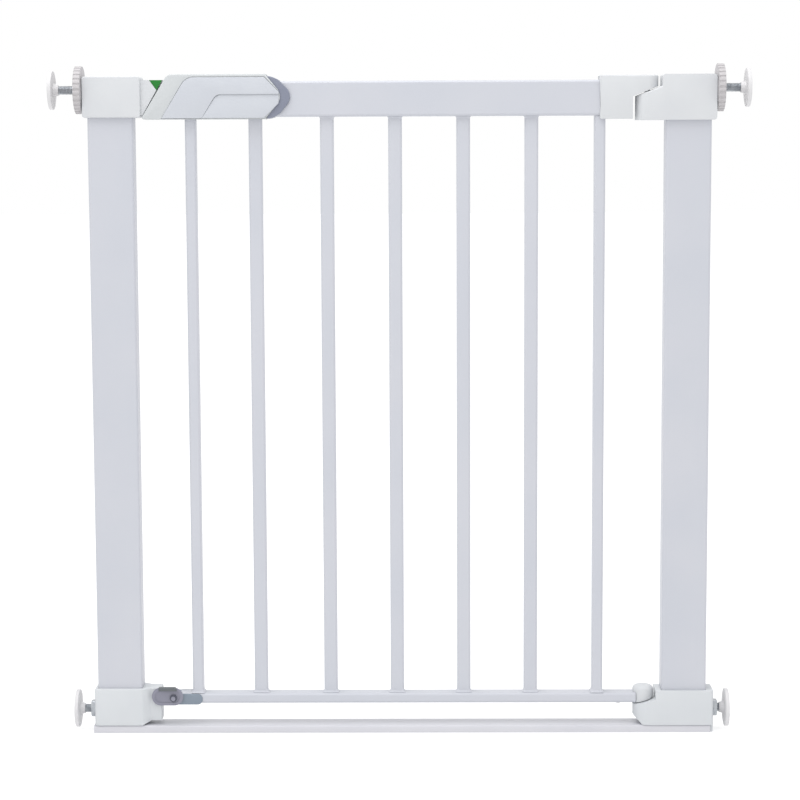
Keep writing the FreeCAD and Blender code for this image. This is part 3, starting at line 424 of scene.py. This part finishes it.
# Upper hinge cover: ABS, closed round the end of the top rail, with a bore for the pin.
# Its underside is the ramp that rides on the lobe of the right cap.
low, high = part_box("upper_hinge_cover")
lobe_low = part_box("right_top_cap")[0]
step_x = lobe_low.x - 3.1 * MM
step_z = hinge_z + HINGE_RISE * (step_x - hinge_x) + ramp_gap
end_z = hinge_z + HINGE_RISE * (high.x - hinge_x) + ramp_gap
end_round = high.x - hinge_x
pin_bore = 5.1 * MM
cover = add_block("hinge_cover", low, (step_x, high.y, high.z))
pick_edges(lambda spot, run: spot.x < low.x + MM and (abs(run.z) > 0.9 or abs(run.y) > 0.9))
bpy.ops.mesh.bevel(offset=1.6 * MM, segments=4, affect="EDGES")
pick_faces(lambda spot, normal: normal.x > 0.9)
bpy.ops.mesh.bisect(plane_co=(0, 0, step_z), plane_no=(0, 0, 1))
pick_faces(lambda spot, normal: normal.x > 0.9 and spot.z > step_z)
pull((high.x - step_x, 0, 0))
pick_edges(lambda spot, run: abs(run.y) > 0.9 and spot.x > high.x - MM and spot.z < high.z - MM)
bpy.ops.transform.translate(value=(0, 0, end_z - step_z))
pick_edges(lambda spot, run: abs(run.z) > 0.9 and spot.x > high.x - MM)
bpy.ops.mesh.bevel(offset=end_round * 0.998, segments=18, affect="EDGES")
pick_edges(lambda spot, run: spot.z > high.z - 0.1 * MM and abs(run.z) < 0.1)
bpy.ops.mesh.bevel(offset=2.2 * MM, segments=5, affect="EDGES")
close(cover, 0.9 * MM)
rail_low, rail_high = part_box("top_rail")
hollow(cover, (low.x - MM, rail_low.y - FIT, rail_low.z - FIT),
       (rail_high.x + FIT, rail_high.y + FIT, rail_high.z + FIT))
bar_low, bar_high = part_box("hinge_stile")
hollow(cover, (low.x - MM, bar_low.y - FIT, low.z - MM),
       (bar_high.x + FIT, bar_high.y + FIT, rail_low.z + MM))
drill(cover, (hinge_x, 0, low.z), (hinge_x, 0, high.z - 2 * MM), pin_bore)
dress(cover, white_abs, "door", "white_plastic", "upper_hinge_cover")

# Lower hinge cap: a domed ABS cap pushed over the end of the bottom rail.
# Its foot is cut to the slope of the lower ramp, with a thin gap when the door is shut.
low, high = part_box("lower_hinge_cap")
low_gap = 1.1 * MM
cap = add_round("lower_door_cap", (hinge_x, 0, low.z - 2 * MM), (hinge_x, 0, high.z),
                high.x - hinge_x)
bpy.ops.mesh.select_all(action="SELECT")
bpy.ops.mesh.bisect(plane_co=(hinge_x, 0, low_hinge_z + low_gap), plane_no=(LOW_RISE, 0, -1),
                    use_fill=True, clear_outer=True)
pick_edges(lambda spot, run: spot.z > high.z - 0.1 * MM)
bpy.ops.mesh.bevel(offset=4.5 * MM, segments=8, affect="EDGES")
close(cap, 0.6 * MM, 2)
rail_low, rail_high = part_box("bottom_rail")
hollow(cap, (low.x - MM, rail_low.y - FIT, rail_low.z - FIT),
       (rail_high.x + FIT, rail_high.y + FIT, rail_high.z + FIT))
drill(cap, (hinge_x, 0, low.z - 2 * MM), (hinge_x, 0, high.z - 3.5 * MM), pin_bore)
dress(cap, white_abs, "door", "white_plastic", "lower_hinge_cap")


# Latch casing: two ABS shells screwed together round the latch end of the top rail.
# The nose leans like the strike face beside it, and the far end is a blunt arrow.
low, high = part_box("latch_shell_front")
ARROW_LONG = 16 * MM
tip_high = 10 * MM
shell_end = high.x - ARROW_LONG
nose_x = shell_end - 104 * MM
middle_z = (low.z + high.z) / 2
lean = (nose_x - low.x) / (high.z - low.z)
wall, recess = 1.6 * MM, 1.2 * MM
SLIDING_FIT = 0.3 * MM
casing_abs = plastic("casing_abs", (0.53, 0.55, 0.562), (0.511, 0.534, 0.547), 0.42)


reach = 2.2 * MM
shell = add_block("latch_casing_front", (low.x - reach, low.y, low.z), high)
tip_drop = (high.z - low.z - tip_high) / 2
for spot, normal in (((nose_x - reach, 0, high.z), (-1, 0, lean)),
                     ((shell_end, 0, high.z), (tip_drop, 0, high.x - shell_end)),
                     ((shell_end, 0, low.z), (tip_drop, 0, shell_end - high.x))):
    bpy.ops.mesh.select_all(action="SELECT")
    bpy.ops.mesh.bisect(plane_co=spot, plane_no=normal, use_fill=True, clear_outer=True)
pick_edges(lambda spot, run: abs(run.y) > 0.9 and spot.x > high.x - 0.1 * MM)
bpy.ops.mesh.bevel(offset=3.8 * MM, segments=8, affect="EDGES")
pick_edges(lambda spot, run: abs(run.y) > 0.9 and spot.x < nose_x + MM)
bpy.ops.mesh.bevel(offset=4.5 * MM, segments=6, affect="EDGES")
pick_edges(lambda spot, run: spot.y < low.y + 0.1 * MM)
bpy.ops.mesh.bevel(offset=1 * MM, segments=3, affect="EDGES")
close(shell)
seam = nose_x + 20 * MM
crease_z = high.z - 21.8 * MM
grip_x = seam + 44 * MM
hollow(shell, (grip_x - lean * (high.z - low.z) + MM, low.y - MM, low.z - 0.5 * MM),
       (high.x + MM, low.y + recess, crease_z - 0.2 * MM))
hollow(shell, (nose_x + 3 * MM, low.y + wall, low.z + wall), (shell_end + MM, MM, high.z - wall))
hollow(shell, (shell_end, low.y + wall + FIT, low.z - MM), (high.x + MM, MM, high.z + MM))
for upright in ("latch_stile", "bar_1"):
    bar_low, bar_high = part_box(upright)
    hollow(shell, (bar_low.x - FIT, bar_low.y - FIT, low.z - MM),
           (bar_high.x + FIT, MM, low.z + 3 * MM))
bolt_low, bolt_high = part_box("latch_bolt")
bolt_travel = 9 * MM
hollow(shell, (bolt_low.x - MM, bolt_low.y - SLIDING_FIT, bolt_low.z - SLIDING_FIT),
       (bolt_high.x + bolt_travel, MM, bolt_high.z + SLIDING_FIT))


def mirror_to_back(piece, name):
    """A copy of a front piece, turned over to the back of the door."""
    select_only(piece)
    bpy.ops.object.duplicate()
    copy = bpy.context.active_object
    copy.name = name
    copy.data.name = name
    bpy.ops.object.mode_set(mode="EDIT")
    bpy.ops.mesh.select_all(action="SELECT")
    bpy.ops.transform.resize(value=(1, -1, 1), center_override=(0, 0, 0))
    bpy.ops.mesh.normals_make_consistent(inside=False)
    bpy.ops.object.mode_set(mode="OBJECT")
    bpy.ops.object.shade_smooth_by_angle(angle=CREASE)
    return copy


back_shell = mirror_to_back(shell, "latch_casing_rear")
dress(shell, casing_abs, "door", "latch_plastic", "latch_shell_front")
dress(back_shell, casing_abs, "door", "latch_plastic", "latch_shell_rear")


# Latch panels: thin ABS covers snapped on the faces of the casing, in a slightly greyer white.
# Each is cut into a raised upper panel and a finger grip that slopes away under its crease.
panel_abs = plastic("panel_abs", (0.525, 0.546, 0.586), (0.508, 0.528, 0.573), 0.40)
face_low, face_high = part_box("latch_panel_front")
thick = face_high.y - face_low.y
bpy.ops.object.select_all(action="DESELECT")
bpy.ops.mesh.primitive_plane_add(size=1, location=((low.x + high.x) / 2, low.y, middle_z),
                                 rotation=(math.pi / 2, 0, 0))
bpy.ops.transform.resize(value=(high.x - low.x, 1, high.z - low.z))
bpy.ops.object.transform_apply(location=True, rotation=True, scale=True)
panel = bpy.context.active_object
panel.name = "latch_panel_raised_front"
bpy.ops.object.mode_set(mode="EDIT")
panel_top = high.z - 3.2 * MM
panel_under = low.z + MM
tip_over, tip_under = (19.3, 0, 16), (19.3, 0, -16)
for spot, normal in (((seam, 0, high.z), (-1, 0, lean)), ((0, 0, panel_top), (0, 0, 1)),
                     ((0, 0, panel_under), (0, 0, -1)), ((high.x - MM, 0, 0), (1, 0, 0)),
                     ((shell_end - MM, 0, panel_top), tip_over),
                     ((shell_end - MM, 0, panel_under), tip_under)):
    bpy.ops.mesh.select_all(action="SELECT")
    bpy.ops.mesh.bisect(plane_co=spot, plane_no=normal, clear_outer=True)
bpy.ops.mesh.select_all(action="SELECT")
bpy.ops.mesh.bisect(plane_co=(grip_x, 0, high.z), plane_no=(-1, 0, lean))
pick_faces(lambda spot, normal: spot.x > grip_x - 14 * MM)
bpy.ops.mesh.bisect(plane_co=(0, 0, crease_z), plane_no=(0, 0, 1))
pick_faces(lambda spot, normal: spot.x > grip_x - 30 * MM and spot.z < crease_z)
bpy.ops.mesh.separate(type="SELECTED")
bpy.ops.mesh.select_all(action="SELECT")
bpy.ops.mesh.dissolve_limited()
bpy.ops.object.mode_set(mode="OBJECT")
grip = [o for o in bpy.context.selected_objects if o != panel][0]
grip.name = "finger_grip_front_cover"


def round_outline(piece, radius, test):
    """Rounds the corners of a flat outline that pass a test."""
    select_only(piece)
    bpy.ops.object.mode_set(mode="EDIT")
    bpy.ops.mesh.select_mode(type="VERT")
    bpy.ops.mesh.select_all(action="DESELECT")
    mesh = bmesh.from_edit_mesh(piece.data)
    for vert in mesh.verts:
        vert.select_set(bool(test(vert.co)))
    bmesh.update_edit_mesh(piece.data)
    bpy.ops.mesh.bevel(offset=radius, segments=8, affect="VERTICES")


panel_rim, crease_round = 0.45 * MM, 5 * MM
round_outline(panel, 8 * MM, lambda spot: spot.z > panel_top - MM and spot.x < nose_x + 30 * MM)
round_outline(panel, crease_round,
              lambda spot: abs(spot.z - crease_z) < 0.1 * MM and spot.x < grip_x)
bpy.ops.mesh.select_all(action="SELECT")
pull((0, -thick, 0))
close(panel, panel_rim)
round_outline(grip, crease_round, lambda spot: spot.z > crease_z - MM and spot.x < grip_x)
bpy.ops.mesh.select_all(action="SELECT")
bpy.ops.transform.resize(value=(0.994, 1, 0.985))
bpy.ops.transform.translate(value=(0, recess, 0))
pull((0, -thick, 0))
bpy.ops.mesh.select_all(action="SELECT")
tilt = math.atan2(recess, crease_z - low.z)
bpy.ops.transform.rotate(value=tilt, orient_axis="X",
                         center_override=(0, low.y + recess, crease_z))
close(grip, panel_rim)
back_panel = mirror_to_back(panel, "latch_panel_raised_rear")
back_grip = mirror_to_back(grip, "finger_grip_rear_cover")
for skin, cover in ((shell, panel), (back_shell, back_panel)):
    select_only(cover)
    bpy.ops.object.duplicate()
    bpy.ops.object.mode_set(mode="EDIT")
    bpy.ops.mesh.select_all(action="SELECT")
    bpy.ops.transform.resize(value=(1.008, 4, 1.024))
    bpy.ops.object.mode_set(mode="OBJECT")
    carve(skin, bpy.context.active_object)
dress(panel, panel_abs, "door", "latch_panel", "latch_panel_front")
dress(back_panel, panel_abs, "door", "latch_panel", "latch_panel_rear")
dress(grip, panel_abs, "door", "latch_panel", "finger_grip_front")
dress(back_grip, panel_abs, "door", "latch_panel", "finger_grip_rear")


# Thumb slide: a grey nylon sleeve that runs on the rail and shows as a crescent past the casing.
# Pulled toward the hinge it draws the bolt, and the spring brings both back.
grey_nylon = plastic("slide_grey", (0.223, 0.239, 0.302), (0.202, 0.218, 0.281), 0.36)
low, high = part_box("thumb_slide")
slide = add_block("thumb_slide_sleeve", low, high)
shoulder = high.x - ARROW_LONG
for up, edge_z in ((1, high.z), (-1, low.z)):
    bpy.ops.mesh.select_all(action="SELECT")
    run_z = abs(edge_z - middle_z) - tip_high / 2
    bpy.ops.mesh.bisect(plane_co=(shoulder, 0, edge_z), plane_no=(run_z, 0, up * ARROW_LONG),
                        use_fill=True, clear_outer=True)
pick_edges(lambda spot, run: abs(run.y) > 0.9 and spot.x > high.x - 0.1 * MM)
bpy.ops.mesh.bevel(offset=4.8 * MM, segments=8, affect="EDGES")
pick_edges(lambda spot, run: abs(run.y) > 0.9 and abs(spot.x - shoulder) < 0.5 * MM)
bpy.ops.mesh.bevel(offset=9 * MM, segments=9, affect="EDGES")
close(slide, 1 * MM, 4)
rail_low, rail_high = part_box("top_rail")
hollow(slide, (low.x - MM, rail_low.y - SLIDING_FIT, rail_low.z - SLIDING_FIT),
       (high.x + MM, rail_high.y + SLIDING_FIT, rail_high.z + SLIDING_FIT))
hollow(slide, (low.x - MM, low.y - MM, low.z - MM),
       (shell_end + 2 * MM, high.y + MM, rail_low.z))
dress(slide, grey_nylon, "latch_slider", "grey_plastic", "thumb_slide")

# Inside the casing: the link bar and the bolt are grey nylon, and a plug closes the rail.
coat_nodes(grey_nylon, "latch_link", "latch_bolt")
coat_nodes(white_abs, "rail_end_plug")


# Return spring: hard-drawn wire, 0.56 mm, wound in twelve turns and set in the link bar.
# It pushes the slide and the bolt back toward the strike.
def wind(name, wire, radius, start, turns, pitch, steps, sides):
    """A helix of wire or thread along X, its low end at start."""
    bpy.ops.object.select_all(action="DESELECT")
    bpy.ops.mesh.primitive_circle_add(vertices=sides, radius=wire, location=(0, 0, 0))
    bpy.ops.transform.rotate(value=-math.pi / 2, orient_axis="X", center_override=(0, 0, 0))
    bpy.ops.transform.translate(value=(radius, 0, 0))
    bpy.ops.object.transform_apply(location=True, rotation=True, scale=True)
    piece = bpy.context.active_object
    piece.name = name
    piece.data.name = name
    helix = piece.modifiers.new("helix", "SCREW")
    helix.axis = "Z"
    helix.angle = math.tau
    helix.screw_offset = pitch
    helix.iterations = turns
    helix.steps = steps
    helix.render_steps = steps
    bpy.ops.object.modifier_apply(modifier="helix")
    bpy.ops.object.mode_set(mode="EDIT")
    bpy.ops.mesh.select_all(action="SELECT")
    bpy.ops.mesh.fill_holes(sides=sides)
    bpy.ops.mesh.normals_make_consistent(inside=False)
    bpy.ops.transform.rotate(value=-math.pi / 2, orient_axis="Y", center_override=(0, 0, 0))
    mesh = bmesh.from_edit_mesh(piece.data)
    shift = Vector(start) - Vector((min(v.co.x for v in mesh.verts), 0, 0))
    bpy.ops.transform.translate(value=shift)
    bpy.ops.object.mode_set(mode="OBJECT")
    bpy.ops.object.shade_smooth_by_angle(angle=math.radians(50))
    return piece


spring_steel = paint("spring_steel", (0.42, 0.41, 0.40), (0.30, 0.29, 0.29),
                     patch=300, grain=2000, relief=0.01 * MM, rough=0.28, metal=1.0)
low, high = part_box("latch_spring")
turns = 12
pitch = (high.x - low.x - 1.2 * MM) / turns
spring = wind("return_spring_coil", wire=0.28 * MM, radius=1.6 * MM,
              start=(low.x, 0, (low.z + high.z) / 2), turns=turns, pitch=pitch, steps=16, sides=8)
dress(spring, spring_steel, "latch_slider", "spring_steel", "latch_spring")
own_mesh(spring)


# Fixing screws: pan-head, zinc plated, with a pressed cross recess.
# Each pulls a cap, a fitting or the casing's two shells tight from behind.
screw_zinc = paint("screw_zinc", (0.55, 0.56, 0.58), (0.40, 0.41, 0.43),
                   patch=400, grain=1800, relief=0.02 * MM, rough=0.26, metal=1.0)


def pan_screw(name, centre, radius, under, over, shank_end):
    """A pan head from under to over along Y, its shank, and a cross pressed in the crown."""
    outward = 1 if over > under else -1
    piece = add_round(name, (centre.x, under, centre.z), (centre.x, over, centre.z), radius, 48)
    pick_edges(lambda spot, run: abs(spot.y - over) < 0.001 * MM)
    bpy.ops.mesh.bevel(offset=abs(over - under) * 0.7, segments=5, affect="EDGES")
    pick_faces(lambda spot, normal: normal.y * outward < -0.9)
    bpy.ops.mesh.inset(thickness=radius / 2)
    pull((0, shank_end - under, 0))
    close(piece)
    near, far = sorted((over - outward * 1.1 * MM, over + outward * MM))
    reach, groove = radius * 0.62, radius * 0.13
    for wide, tall in ((reach, groove), (groove, reach)):
        hollow(piece, (centre.x - wide, near, centre.z - tall),
               (centre.x + wide, far, centre.z + tall))
    return piece


head = 4 * MM
for node, body in (("cap_screws", "frame"), ("fitting_screws", "frame"), ("latch_screws", "door")):
    low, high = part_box(node)
    for word, x in (("left", low.x + head), ("right", high.x - head)):
        screw = pan_screw("%s_%s" % (node[:-1], word), Vector((x, 0, (low.z + high.z) / 2)),
                          head, high.y - 2 * MM, high.y, low.y)
        dress(screw, screw_zinc, body, "screw_steel", node)


# Stop bracket: a grey acetal saddle clipped under the bottom rail, rounded at its inboard end.
# Its ear carries the stop lever beside the catch of the left foot.
bracket_grey = plastic("bracket_grey", (0.215, 0.255, 0.305), (0.195, 0.235, 0.285), 0.42)
low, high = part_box("stop_bracket")
bracket = add_block("rail_saddle", low, high)
pick_edges(lambda spot, run: abs(run.y) > 0.9 and spot.x > high.x - MM)
bpy.ops.mesh.bevel(offset=(high.z - low.z) * 0.47, segments=8, affect="EDGES")
pick_edges(lambda spot, run: abs(run.y) > 0.9 and spot.x < low.x + MM)
bpy.ops.mesh.bevel(offset=2 * MM, segments=4, affect="EDGES")
close(bracket, 0.9 * MM)
rail_low, rail_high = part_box("bottom_rail")
hollow(bracket, (rail_low.x, rail_low.y - FIT, rail_low.z - FIT),
       (high.x + MM, rail_high.y + FIT, rail_high.z + MM))
dress(bracket, bracket_grey, "door", "grey_plastic", "stop_bracket")

# Stop lever: a darker grey lever, thick in the nose, with a ledge on top for the thumb.
# It turns on a plain pivot and lies in front of the catch, to hold the door one way.
lever_grey = plastic("lever_grey", (0.235, 0.235, 0.29), (0.21, 0.21, 0.265), 0.40)
low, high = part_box("stop_lever")
pivot_low, pivot_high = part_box("stop_pivot_screw")
pivot = (pivot_low + pivot_high) / 2
ledge = 6 * MM
heel_cut = 3.4 * MM
lever = add_block("stop_lever_cheek", (low.x, low.y + ledge / 2, low.z + heel_cut),
                  (high.x, high.y, 2 * pivot.z - low.z))
lever_half = pivot.z - low.z - heel_cut / 2
pick_edges(lambda spot, run: abs(run.y) > 0.9)
bpy.ops.mesh.bevel(offset=lever_half * 0.995, segments=14, affect="EDGES")
bpy.ops.mesh.select_all(action="SELECT")
bpy.ops.mesh.remove_doubles(threshold=0.3 * MM)
pick_edges(lambda spot, run: spot.y < low.y + ledge / 2 + 0.1 * MM)
bpy.ops.mesh.bevel(offset=0.8 * MM, segments=3, affect="EDGES")
pick_faces(lambda spot, normal: normal.y < -0.9)
bpy.ops.mesh.inset(thickness=1.6 * MM)
bpy.ops.mesh.inset(thickness=1.2 * MM, depth=-0.3 * MM)
close(lever)
drill(lever, (pivot.x, low.y - MM, pivot.z), (pivot.x, high.y + MM, pivot.z), 2.4 * MM)
thumb = add_block("thumb_ledge", (low.x + 6.4 * MM, high.y - ledge, high.z - 4 * MM),
                  (pivot.x + 4 * MM, high.y, high.z))
pick_edges(lambda spot, run: abs(run.y) > 0.9 and spot.x > pivot.x and spot.z > high.z - MM)
bpy.ops.mesh.bevel(offset=3.5 * MM, segments=6, affect="EDGES")
pick_faces(lambda spot, normal: normal.z > 0.9)
bpy.ops.mesh.inset(thickness=0.8 * MM, depth=-0.3 * MM)
close(thumb, 0.5 * MM)
dress(lever, lever_grey, "stop_lever", "grey_plastic", "stop_lever")
# The thumb ledge is coloured near black, much darker than the lever: painted shade for the dark
# line along the ledge's top.
ledge_painted_shade = plastic("ledge_painted_shade", (0.12, 0.13, 0.14), (0.10, 0.11, 0.12), 0.5)
dress(thumb, ledge_painted_shade, "stop_lever", "grey_plastic")
dark_oxide = paint("dark_oxide", (0.085, 0.09, 0.12), (0.065, 0.07, 0.095),
                   patch=300, grain=1800, relief=0.02 * MM, rough=0.55)
head_back = pivot_low.y + 2 * MM
pivot_pin = add_round("stop_pivot", (pivot.x, head_back, pivot.z),
                      (pivot.x, pivot_low.y, pivot.z), 4 * MM, 48)
pick_edges(lambda spot, run: spot.y < pivot_low.y + 0.1 * MM)
bpy.ops.mesh.bevel(offset=0.5 * MM, segments=3, affect="EDGES")
pick_faces(lambda spot, normal: normal.y > 0.9)
bpy.ops.mesh.inset(thickness=2 * MM)
pull((0, pivot_high.y - head_back, 0))
close(pivot_pin)
dress(pivot_pin, dark_oxide, "door", "screw_steel", "stop_pivot_screw")

# Closing bump: a soft stud pressed in the rail's underside that meets the shut door's stop.
low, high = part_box("closing_bump")
bump_x = (low.x + high.x) / 2
bump = add_round("closing_stud", (bump_x, 0, low.z), (bump_x, 0, high.z), 4 * MM, 32)
pick_edges(lambda spot, run: spot.z < low.z + 0.01 * MM)
bpy.ops.mesh.bevel(offset=1.3 * MM, segments=5, affect="EDGES")
close(bump)
bump_grey = plastic("bump_grey", (0.20, 0.20, 0.22), (0.17, 0.17, 0.19), 0.6)
dress(bump, bump_grey, "door", "grey_plastic", "closing_bump")


# Spindles: M10 zinc-plated studding with a rolled thread, one out of each corner of the frame.
# The core is turned to the root of the thread and the crest is a separate winding on it.
def spindle(name):
    """A threaded spindle at one corner."""
    low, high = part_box(name + "_spindle")
    middle = (low.z + high.z) / 2
    root, crest_line = 4.35 * MM, 4.22 * MM
    core = add_round(name + "_studding", (low.x, 0, middle), (high.x, 0, middle), root, 32)
    pick_edges(lambda spot, run: abs(run.x) < 0.1)
    bpy.ops.mesh.bevel(offset=0.8 * MM, segments=2, affect="EDGES")
    close(core)
    pitch = 1.5 * MM
    turns = int((high.x - low.x - 2 * MM) / pitch)
    thread = wind(name + "_thread", wire=0.78 * MM, radius=crest_line,
                  start=(low.x + 0.3 * MM, 0, middle), turns=turns, pitch=pitch, steps=24, sides=3)
    dress(core, zinc, name + "_spindle", "plated_steel", name + "_spindle")
    dress(thread, zinc, name + "_spindle", "plated_steel")


# Wall pads: glass-filled nylon cups, their hub moulded on the stud's end.
# A rubber disc is set in the face that presses on the wall.
pad_nylon = plastic("pad_nylon", (0.64, 0.635, 0.645), (0.611, 0.606, 0.621), 0.48)


def wall_pad(name, side):
    """A wall pad and its rubber face; side is 1 at the right wall and -1 at the left."""
    low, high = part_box(name + "_pad")
    middle = (low.z + high.z) / 2
    dome = 0.5 * MM
    face = high.x if side > 0 else low.x
    back = face - side * 4 * MM
    root = face - side * (high.x - low.x)
    pad = add_round(name + "_pad_cup", (back, 0, middle), (face, 0, middle), 21 * MM, 96)
    pick_faces(lambda spot, normal: normal.x * side < -0.9)
    bpy.ops.mesh.inset(thickness=2 * MM)
    pull((-side * dome, 0, 0), (1, 0.97, 0.97))
    bpy.ops.mesh.inset(thickness=11.4 * MM)
    pull((root - back + side * dome, 0, 0), (1, 0.8, 0.8))
    pick_faces(lambda spot, normal: normal.x * side > 0.9)
    bpy.ops.mesh.inset(thickness=2 * MM)
    bpy.ops.mesh.inset(thickness=0.4 * MM, depth=-0.8 * MM)
    close(pad, 0.7 * MM)
    disc = add_round(name + "_pad_face", (face - side * MM, 0, middle), (face, 0, middle),
                     18.4 * MM, 64)
    pick_faces(lambda spot, normal: normal.x * side > 0.9)
    ring_deep = 0.25 * MM
    for _ in range(3):
        bpy.ops.mesh.inset(thickness=2.4 * MM, depth=-ring_deep)
        bpy.ops.mesh.inset(thickness=1.2 * MM, depth=ring_deep)
    close(disc, 0.2 * MM, 2)
    dress(pad, pad_nylon, name + "_spindle", "pad_plastic", name + "_pad")
    dress(disc, rubber, name + "_spindle", "grip_rubber")


# Handwheels: moulded nylon nuts with a coarse knurl, run by hand to tighten the top corners.
# A groove in the outer face leaves a hub round the thread.
wheel_nylon = plastic("wheel_nylon", (0.499, 0.484, 0.491), (0.468, 0.452, 0.464), 0.5)


def handwheel(name, side):
    """A knurled handwheel; side is 1 at the right wall and -1 at the left."""
    low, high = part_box(name)
    middle = (low.z + high.z) / 2
    inner, outer = (low.x, high.x) if side > 0 else (high.x, low.x)
    slope, groove_deep = side * 0.6 * MM, 1.6 * MM
    sides, rim = 112, 25.9 * MM
    wheel = add_round(name + "_knurled", (inner + slope, 0, middle),
                      (outer - slope, 0, middle), rim, sides)
    for way in (-1, 1):
        pick_faces(lambda spot, normal: normal.x * way * side > 0.9)
        bpy.ops.mesh.inset(thickness=0.5 * MM)
        bpy.ops.mesh.inset(thickness=8 * MM, depth=abs(slope))
    bpy.ops.mesh.inset(thickness=1.5 * MM, depth=-groove_deep)
    bpy.ops.mesh.inset(thickness=7 * MM)
    bpy.ops.mesh.inset(thickness=1 * MM, depth=groove_deep)
    pick_faces(lambda spot, normal: abs(normal.x) < 0.5
               and math.hypot(spot.y, spot.z - middle) > rim - 0.4 * MM
               and round(math.atan2(spot.y, spot.z - middle) / math.tau * sides + 0.5) % 4 < 2)
    bpy.ops.mesh.inset(thickness=0.25 * MM, depth=-0.9 * MM, use_individual=False)
    close(wheel, 0.4 * MM, 2)
    drill(wheel, (inner - side * MM, 0, middle), (outer + side * MM, 0, middle), SPINDLE_BORE)
    dress(wheel, wheel_nylon, name, "wheel_plastic", name)


# Lock nuts: thin M10 hex nuts, zinc plated, chamfered on both faces.
# They are spun on by spanner at the floor, where there is no room for a handwheel.
def lock_nut(name):
    """A hex nut, trimmed to a blank whose edges are turned off."""
    low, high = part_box(name)
    middle = (low.z + high.z) / 2
    corner = (high.y - low.y) / 2
    nut = add_round(name + "_m10", (low.x, 0, middle), (high.x, 0, middle), corner, 6)
    bpy.ops.object.mode_set(mode="OBJECT")
    turned = add_round("turned_blank", (low.x, 0, middle), (high.x, 0, middle), corner)
    pick_edges(lambda spot, run: abs(run.x) < 0.1)
    bpy.ops.mesh.bevel(offset=0.9 * MM, segments=2, affect="EDGES")
    bpy.ops.object.mode_set(mode="OBJECT")
    carve(nut, turned, "INTERSECT")
    drill(nut, (low.x - MM, 0, middle), (high.x + MM, 0, middle), SPINDLE_BORE)
    dress(nut, zinc, name, "plated_steel", name)


for word, side in (("left", -1), ("right", 1)):
    for level in ("upper", "lower"):
        spindle(level + "_" + word)
        wall_pad(level + "_" + word, side)
    handwheel(word + "_handwheel", side)
    lock_nut(word + "_hex_nut")


# The room: a seamless pale floor, an even white surround, and large soft lamps above and in front.
bpy.ops.object.select_all(action="DESELECT")
bpy.ops.mesh.primitive_plane_add(size=30, location=(0, 4, 0))
floor = bpy.context.active_object
floor.name = "pale_floor"
floor_white = paint("pale_floor_finish", (0.46, 0.46, 0.46), (0.44, 0.44, 0.44),
                    patch=2, grain=60, relief=0.05 * MM, rough=0.8)
glow = floor_white.node_tree.nodes["Principled BSDF"]
glow.inputs["Emission Color"].default_value = (1, 1, 1, 1)
glow.inputs["Emission Strength"].default_value = 0.62
floor.data.materials.append(floor_white)

world = bpy.data.worlds.new("white_surround")
world.use_nodes = True
world.node_tree.nodes["Background"].inputs["Color"].default_value = (1, 1, 1, 1)
world.node_tree.nodes["Background"].inputs["Strength"].default_value = 1.0
bpy.context.scene.world = world
bpy.context.scene.view_settings.view_transform = "Standard"


def lamp(name, place, aim, size, power):
    """A square area lamp at a place, turned toward a point."""
    data = bpy.data.lights.new(name, "AREA")
    data.shape = "SQUARE"
    data.size = size
    data.energy = power
    holder = bpy.data.objects.new(name, data)
    bpy.context.scene.collection.objects.link(holder)
    holder.location = place
    holder.rotation_euler = (Vector(aim) - Vector(place)).to_track_quat("-Z", "Y").to_euler()


lamp("overhead_softbox", (-0.3, -0.5, 2.4), aim=(0, 0, 0.3), size=1.6, power=26)
lamp("front_softbox", (-1.4, -2.4, 1.6), aim=(0, 0, 0.5), size=1.4, power=1.5)

# The camera stands in front, near the height of the gate's top, and looks slightly down.
view = bpy.data.cameras.new("camera")
view.lens = 102.17
view.sensor_width = 36
camera = bpy.data.objects.new("camera", view)
bpy.context.scene.collection.objects.link(camera)
camera.location = (0.027, -2.5, 0.6553)
turn, dip, roll = 0.011, 0.1124, -0.0043
camera.rotation_euler = (Matrix.Rotation(turn, 3, "Z") @ Matrix.Rotation(math.pi / 2 - dip, 3, "X")
                         @ Matrix.Rotation(roll, 3, "Z")).to_euler()
bpy.context.scene.camera = camera

bpy.ops.object.select_all(action="DESELECT")
